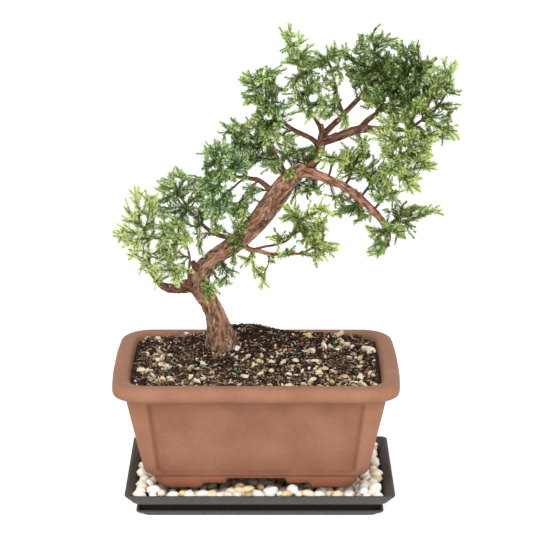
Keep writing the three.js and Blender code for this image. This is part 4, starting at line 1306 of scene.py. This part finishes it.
def twig_skin(nodes, ways, parent, rounds, tips):
    """Five-sided tubes: a ring at every node, joined to its parent's ring if it is the parent's strongest
    child, or else to a ring of its own at the parent's place."""
    side = twig_frames(ways, parent, rounds)
    up = np.cross(ways, side)
    radius = np.minimum(0.30 * tips ** 0.42, 1.15)
    born = np.flatnonzero(parent >= 0)
    order = born[np.lexsort((-tips[born], parent[born]))]
    strongest = np.ones(len(order), bool)
    strongest[1:] = parent[order[1:]] != parent[order[:-1]]
    leads = order[strongest & (parent[order] >= rounds[1][0])]
    starts = np.setdiff1d(born, leads)
    walk = np.arange(SIDES)
    ahead = (walk + 1) % SIDES
    spoke = spokes(walk * 2 * np.pi / SIDES, side, up)
    rings = nodes[:, None] + spoke * radius[:, None, None]
    base = nodes[parent[starts]][:, None] + spoke[starts] * radius[starts][:, None, None]
    row = np.full(len(nodes), -1)
    row[leads] = parent[leads]
    row[starts] = len(nodes) + np.arange(len(starts))
    low, high = row[born][:, None] * SIDES, born[:, None] * SIDES
    quads = np.stack([low + walk, low + ahead, high + ahead, high + walk], -1)
    led = np.zeros(len(nodes), bool)
    led[parent[leads]] = True
    ends = born[~led[born]]
    poles = np.concatenate([nodes[parent[starts]] - ways[starts] * 0.2, nodes[ends] + ways[ends] * 0.5])
    pole = (len(nodes) + len(starts)) * SIDES + np.arange(len(poles))[:, None] + 0 * walk
    base_row, end_row = row[starts][:, None] * SIDES, ends[:, None] * SIDES
    start_fans = np.stack([base_row + ahead, base_row + walk, pole[:len(starts)]], -1)
    end_fans = np.stack([end_row + walk, end_row + ahead, pole[len(starts):]], -1)
    points = np.concatenate([rings.reshape(-1, 3), base.reshape(-1, 3), poles])
    fans = np.concatenate([start_fans.reshape(-1, 3), end_fans.reshape(-1, 3)])
    return points, quads.reshape(-1, 4), fans, side, up


print("a twig has", SIDES, "sides")

# %% Needles

# One needle: 1 long, with its root at 0, a triangular waist and its tip bent up a little.
NEEDLE = np.array([[0, 0, 0], [0.34, 0.5, -0.10], [0.34, -0.5, -0.10], [0.40, 0, 0.5], [1, 0, 0.12]])
NEEDLE_FACES = np.array([[0, 1, 3], [0, 3, 2], [0, 2, 1], [4, 3, 1], [4, 2, 3], [4, 1, 2]])
# Needles stand on a twig up to this far from its tip, in so many whorls a step of so many needles each.
LEAFY = 32.0
WHORLS = 2
PER_WHORL = 3
PER_TUFT = 7


def needle_spots(random, nodes, ways, parent, side, up, far):
    """Whorls of needles along each young segment. A needle leans out from its twig by 34 to 56 degrees, and
    only by 10 to 28 in the tuft at a tip, where it is also shorter."""
    young = np.flatnonzero((parent >= 0) & (far < LEAFY) & (random.random(len(parent)) > 0.02))
    tufts = np.flatnonzero((parent >= 0) & (far == 0))
    owner = np.concatenate([np.repeat(young, WHORLS * PER_WHORL), np.repeat(tufts, PER_TUFT)])
    whorl = np.tile(np.repeat(np.arange(WHORLS), PER_WHORL), len(young))
    spoke = np.tile(np.arange(PER_WHORL), len(young) * WHORLS)
    share = np.concatenate([(whorl + 0.5) / WHORLS, np.ones(len(tufts) * PER_TUFT)])
    tuft_around = np.tile(np.arange(PER_TUFT) / PER_TUFT, len(tufts))
    around = np.concatenate([spoke / PER_WHORL + whorl * 0.29, tuft_around]) * 2 * np.pi
    around = around + random.normal(0, 0.28, len(owner)) + owner * 1.7
    tuft = np.arange(len(owner)) >= len(whorl)
    lean = np.where(tuft, random.uniform(10, 28, len(owner)), random.uniform(34, 56, len(owner)))
    lean = np.radians(lean)
    out = np.cos(around)[:, None] * side[owner] + np.sin(around)[:, None] * up[owner]
    point = np.cos(lean)[:, None] * ways[owner] + np.sin(lean)[:, None] * out
    across = unit(np.cross(out, ways[owner]))
    outer = np.cross(point, across)
    places = nodes[parent[owner]] + (nodes[owner] - nodes[parent[owner]]) * share[:, None] + out * 0.2
    length = random.uniform(3.2, 4.7, len(owner)) * np.where(tuft, 0.75, 1)
    length = length * (0.75 + 0.25 * ease(0, 6, far[owner]))
    sizes = np.stack([length, random.uniform(0.7, 0.95, len(owner)), np.full(len(owner), 0.45)], 1)
    return owner, places, np.stack([point, across, outer], 1), sizes, tuft


def needle_finish():
    """Juniper needles by their stored tone: the darkest greens are painted shade inside the pad and at each
    needle's base, and the lighter ones are partly painted light on the outside of the pad and partly fresh
    growth towards the tips. The greens are bluish or yellowish by pad, with a few dry brown ones."""
    finish = new_finish("needles", 0.62, 0.12)
    tone = attribute(finish, "tone")
    at = (0.0, 0.3, 0.6, 0.85, 1.0)
    warm = ((0.018, 0.042, 0.005), (0.122, 0.218, 0.033), (0.430, 0.540, 0.125), (0.60, 0.70, 0.22),
            (0.68, 0.76, 0.34))
    cool = ((0.014, 0.042, 0.008), (0.092, 0.212, 0.052), (0.345, 0.530, 0.205), (0.60, 0.75, 0.41),
            (0.74, 0.83, 0.56))
    warm, cool = (ramp(finish, tone, list(zip(at, colors))) for colors in (warm, cool))
    green = blend(finish, attribute(finish, "cool"), warm, cool)
    dress(finish, blend(finish, attribute(finish, "dry"), green, (0.30, 0.135, 0.045)))
    return finish


NEEDLES = needle_finish()
TWIGS = bark_finish("twig_bark", (0.020, 0.017, 0.007), (0.080, 0.056, 0.024), (0.24, 0.155, 0.08),
                    (0.10, 0.07, 0.05))
print("finishes:", NEEDLES.name, TWIGS.name)

# %% Every pad


def foliage(number, name, limbs, lift, look, clumps):
    """One pad: its twigs and its needles, each as a piece of its own."""
    cool, bright, spread = look
    random = np.random.default_rng(SEED * 100 + number)
    cloud = pad_points(random, clumps)
    places, aheads = starting_points(limbs, cloud)
    nodes, ways, parent, rounds = grow(random, cloud, places, aheads, np.array(lift), spread)
    tips, far = measure(parent, rounds, len(nodes))
    points, quads, fans, side, up = twig_skin(nodes, ways, parent, rounds, tips)
    used = np.zeros(len(points), bool)
    used[quads] = used[fans] = True
    row = np.cumsum(used) - 1
    tone = random.random(int(used.sum()))
    tones = {"ridge": 0.3 + 0.4 * tone, "torn": tone * 0, "age": tone * 0}
    make_piece(f"twigs_{name}", points[used], [row[quads], row[fans]], TWIGS, tones=tones)
    owner, spots, turns, sizes, tuft = needle_spots(random, nodes, ways, parent, side, up, far)
    points, corners = copies(NEEDLE, NEEDLE_FACES, spots, turns, sizes)
    # Painted light and shade: needles on the outside of the pad get a higher tone and those deep inside a
    # lower one. The rise towards the twig tips is partly fresh growth and partly painted shade on the older
    # needles inside.
    outside = np.linalg.norm(nodes[owner] - cloud.mean(0), axis=1)
    outside = ease(0.2, 1.0, outside / np.percentile(outside, 95))
    light = 0.13 + bright + 0.25 * (1 - ease(0, 15, far[owner])) + 0.26 * outside + 0.05 * tuft
    light = light + random.normal(0, 0.22, len(owner)) + (lattice_noise(spots / 7.0, number) - 0.5) * 0.22
    hue = np.clip(cool + (lattice_noise(spots / 16.0, 60 + number) - 0.5) * 0.7, 0, 1)
    dry = (lattice_noise(spots / 4.0, 90 + number) > 0.93) * (far[owner] > 6)
    dry = dry * random.uniform(0.5, 1, len(owner))
    light, hue, dry = (np.repeat(values, len(NEEDLE)) for values in (light, hue, dry))
    # Painted shade and light along each needle: darkest at its root, lightest at its tip.
    shade_along_needle = np.tile([-0.30, -0.02, -0.02, 0.06, 0.16], len(owner))
    tones = {"tone": np.clip(light + shade_along_needle, 0, 1), "cool": hue, "dry": dry}
    packed = node_of("foliage", name)
    make_piece(f"needles_{name}", points, [corners], NEEDLES, packed, smooth=False, tones=tones)
    return len(owner)


total = sum(foliage(number, name, *pad) for number, (name, pad) in enumerate(PADS.items()))
print(total, "needles")

# %% [markdown]
# ## Drain screens
# Two squares of plastic mesh cover the drain holes inside the pot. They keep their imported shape, because
# nothing of them shows from outside; they only need a finish.

# %% Drain screens
screen_plastic = new_finish("screen_plastic", 0.6, 0.4)
screen_stops = [(0.3, (0.008, 0.008, 0.008)), (0.7, (0.020, 0.020, 0.020))]
dress(screen_plastic, ramp(screen_plastic, noise(screen_plastic, 900, 4), screen_stops))
for screen in ("drain_screen_left", "drain_screen_right"):
    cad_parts[screen].data.materials.clear()
    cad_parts[screen].data.materials.append(screen_plastic)
print("drain screens dressed")
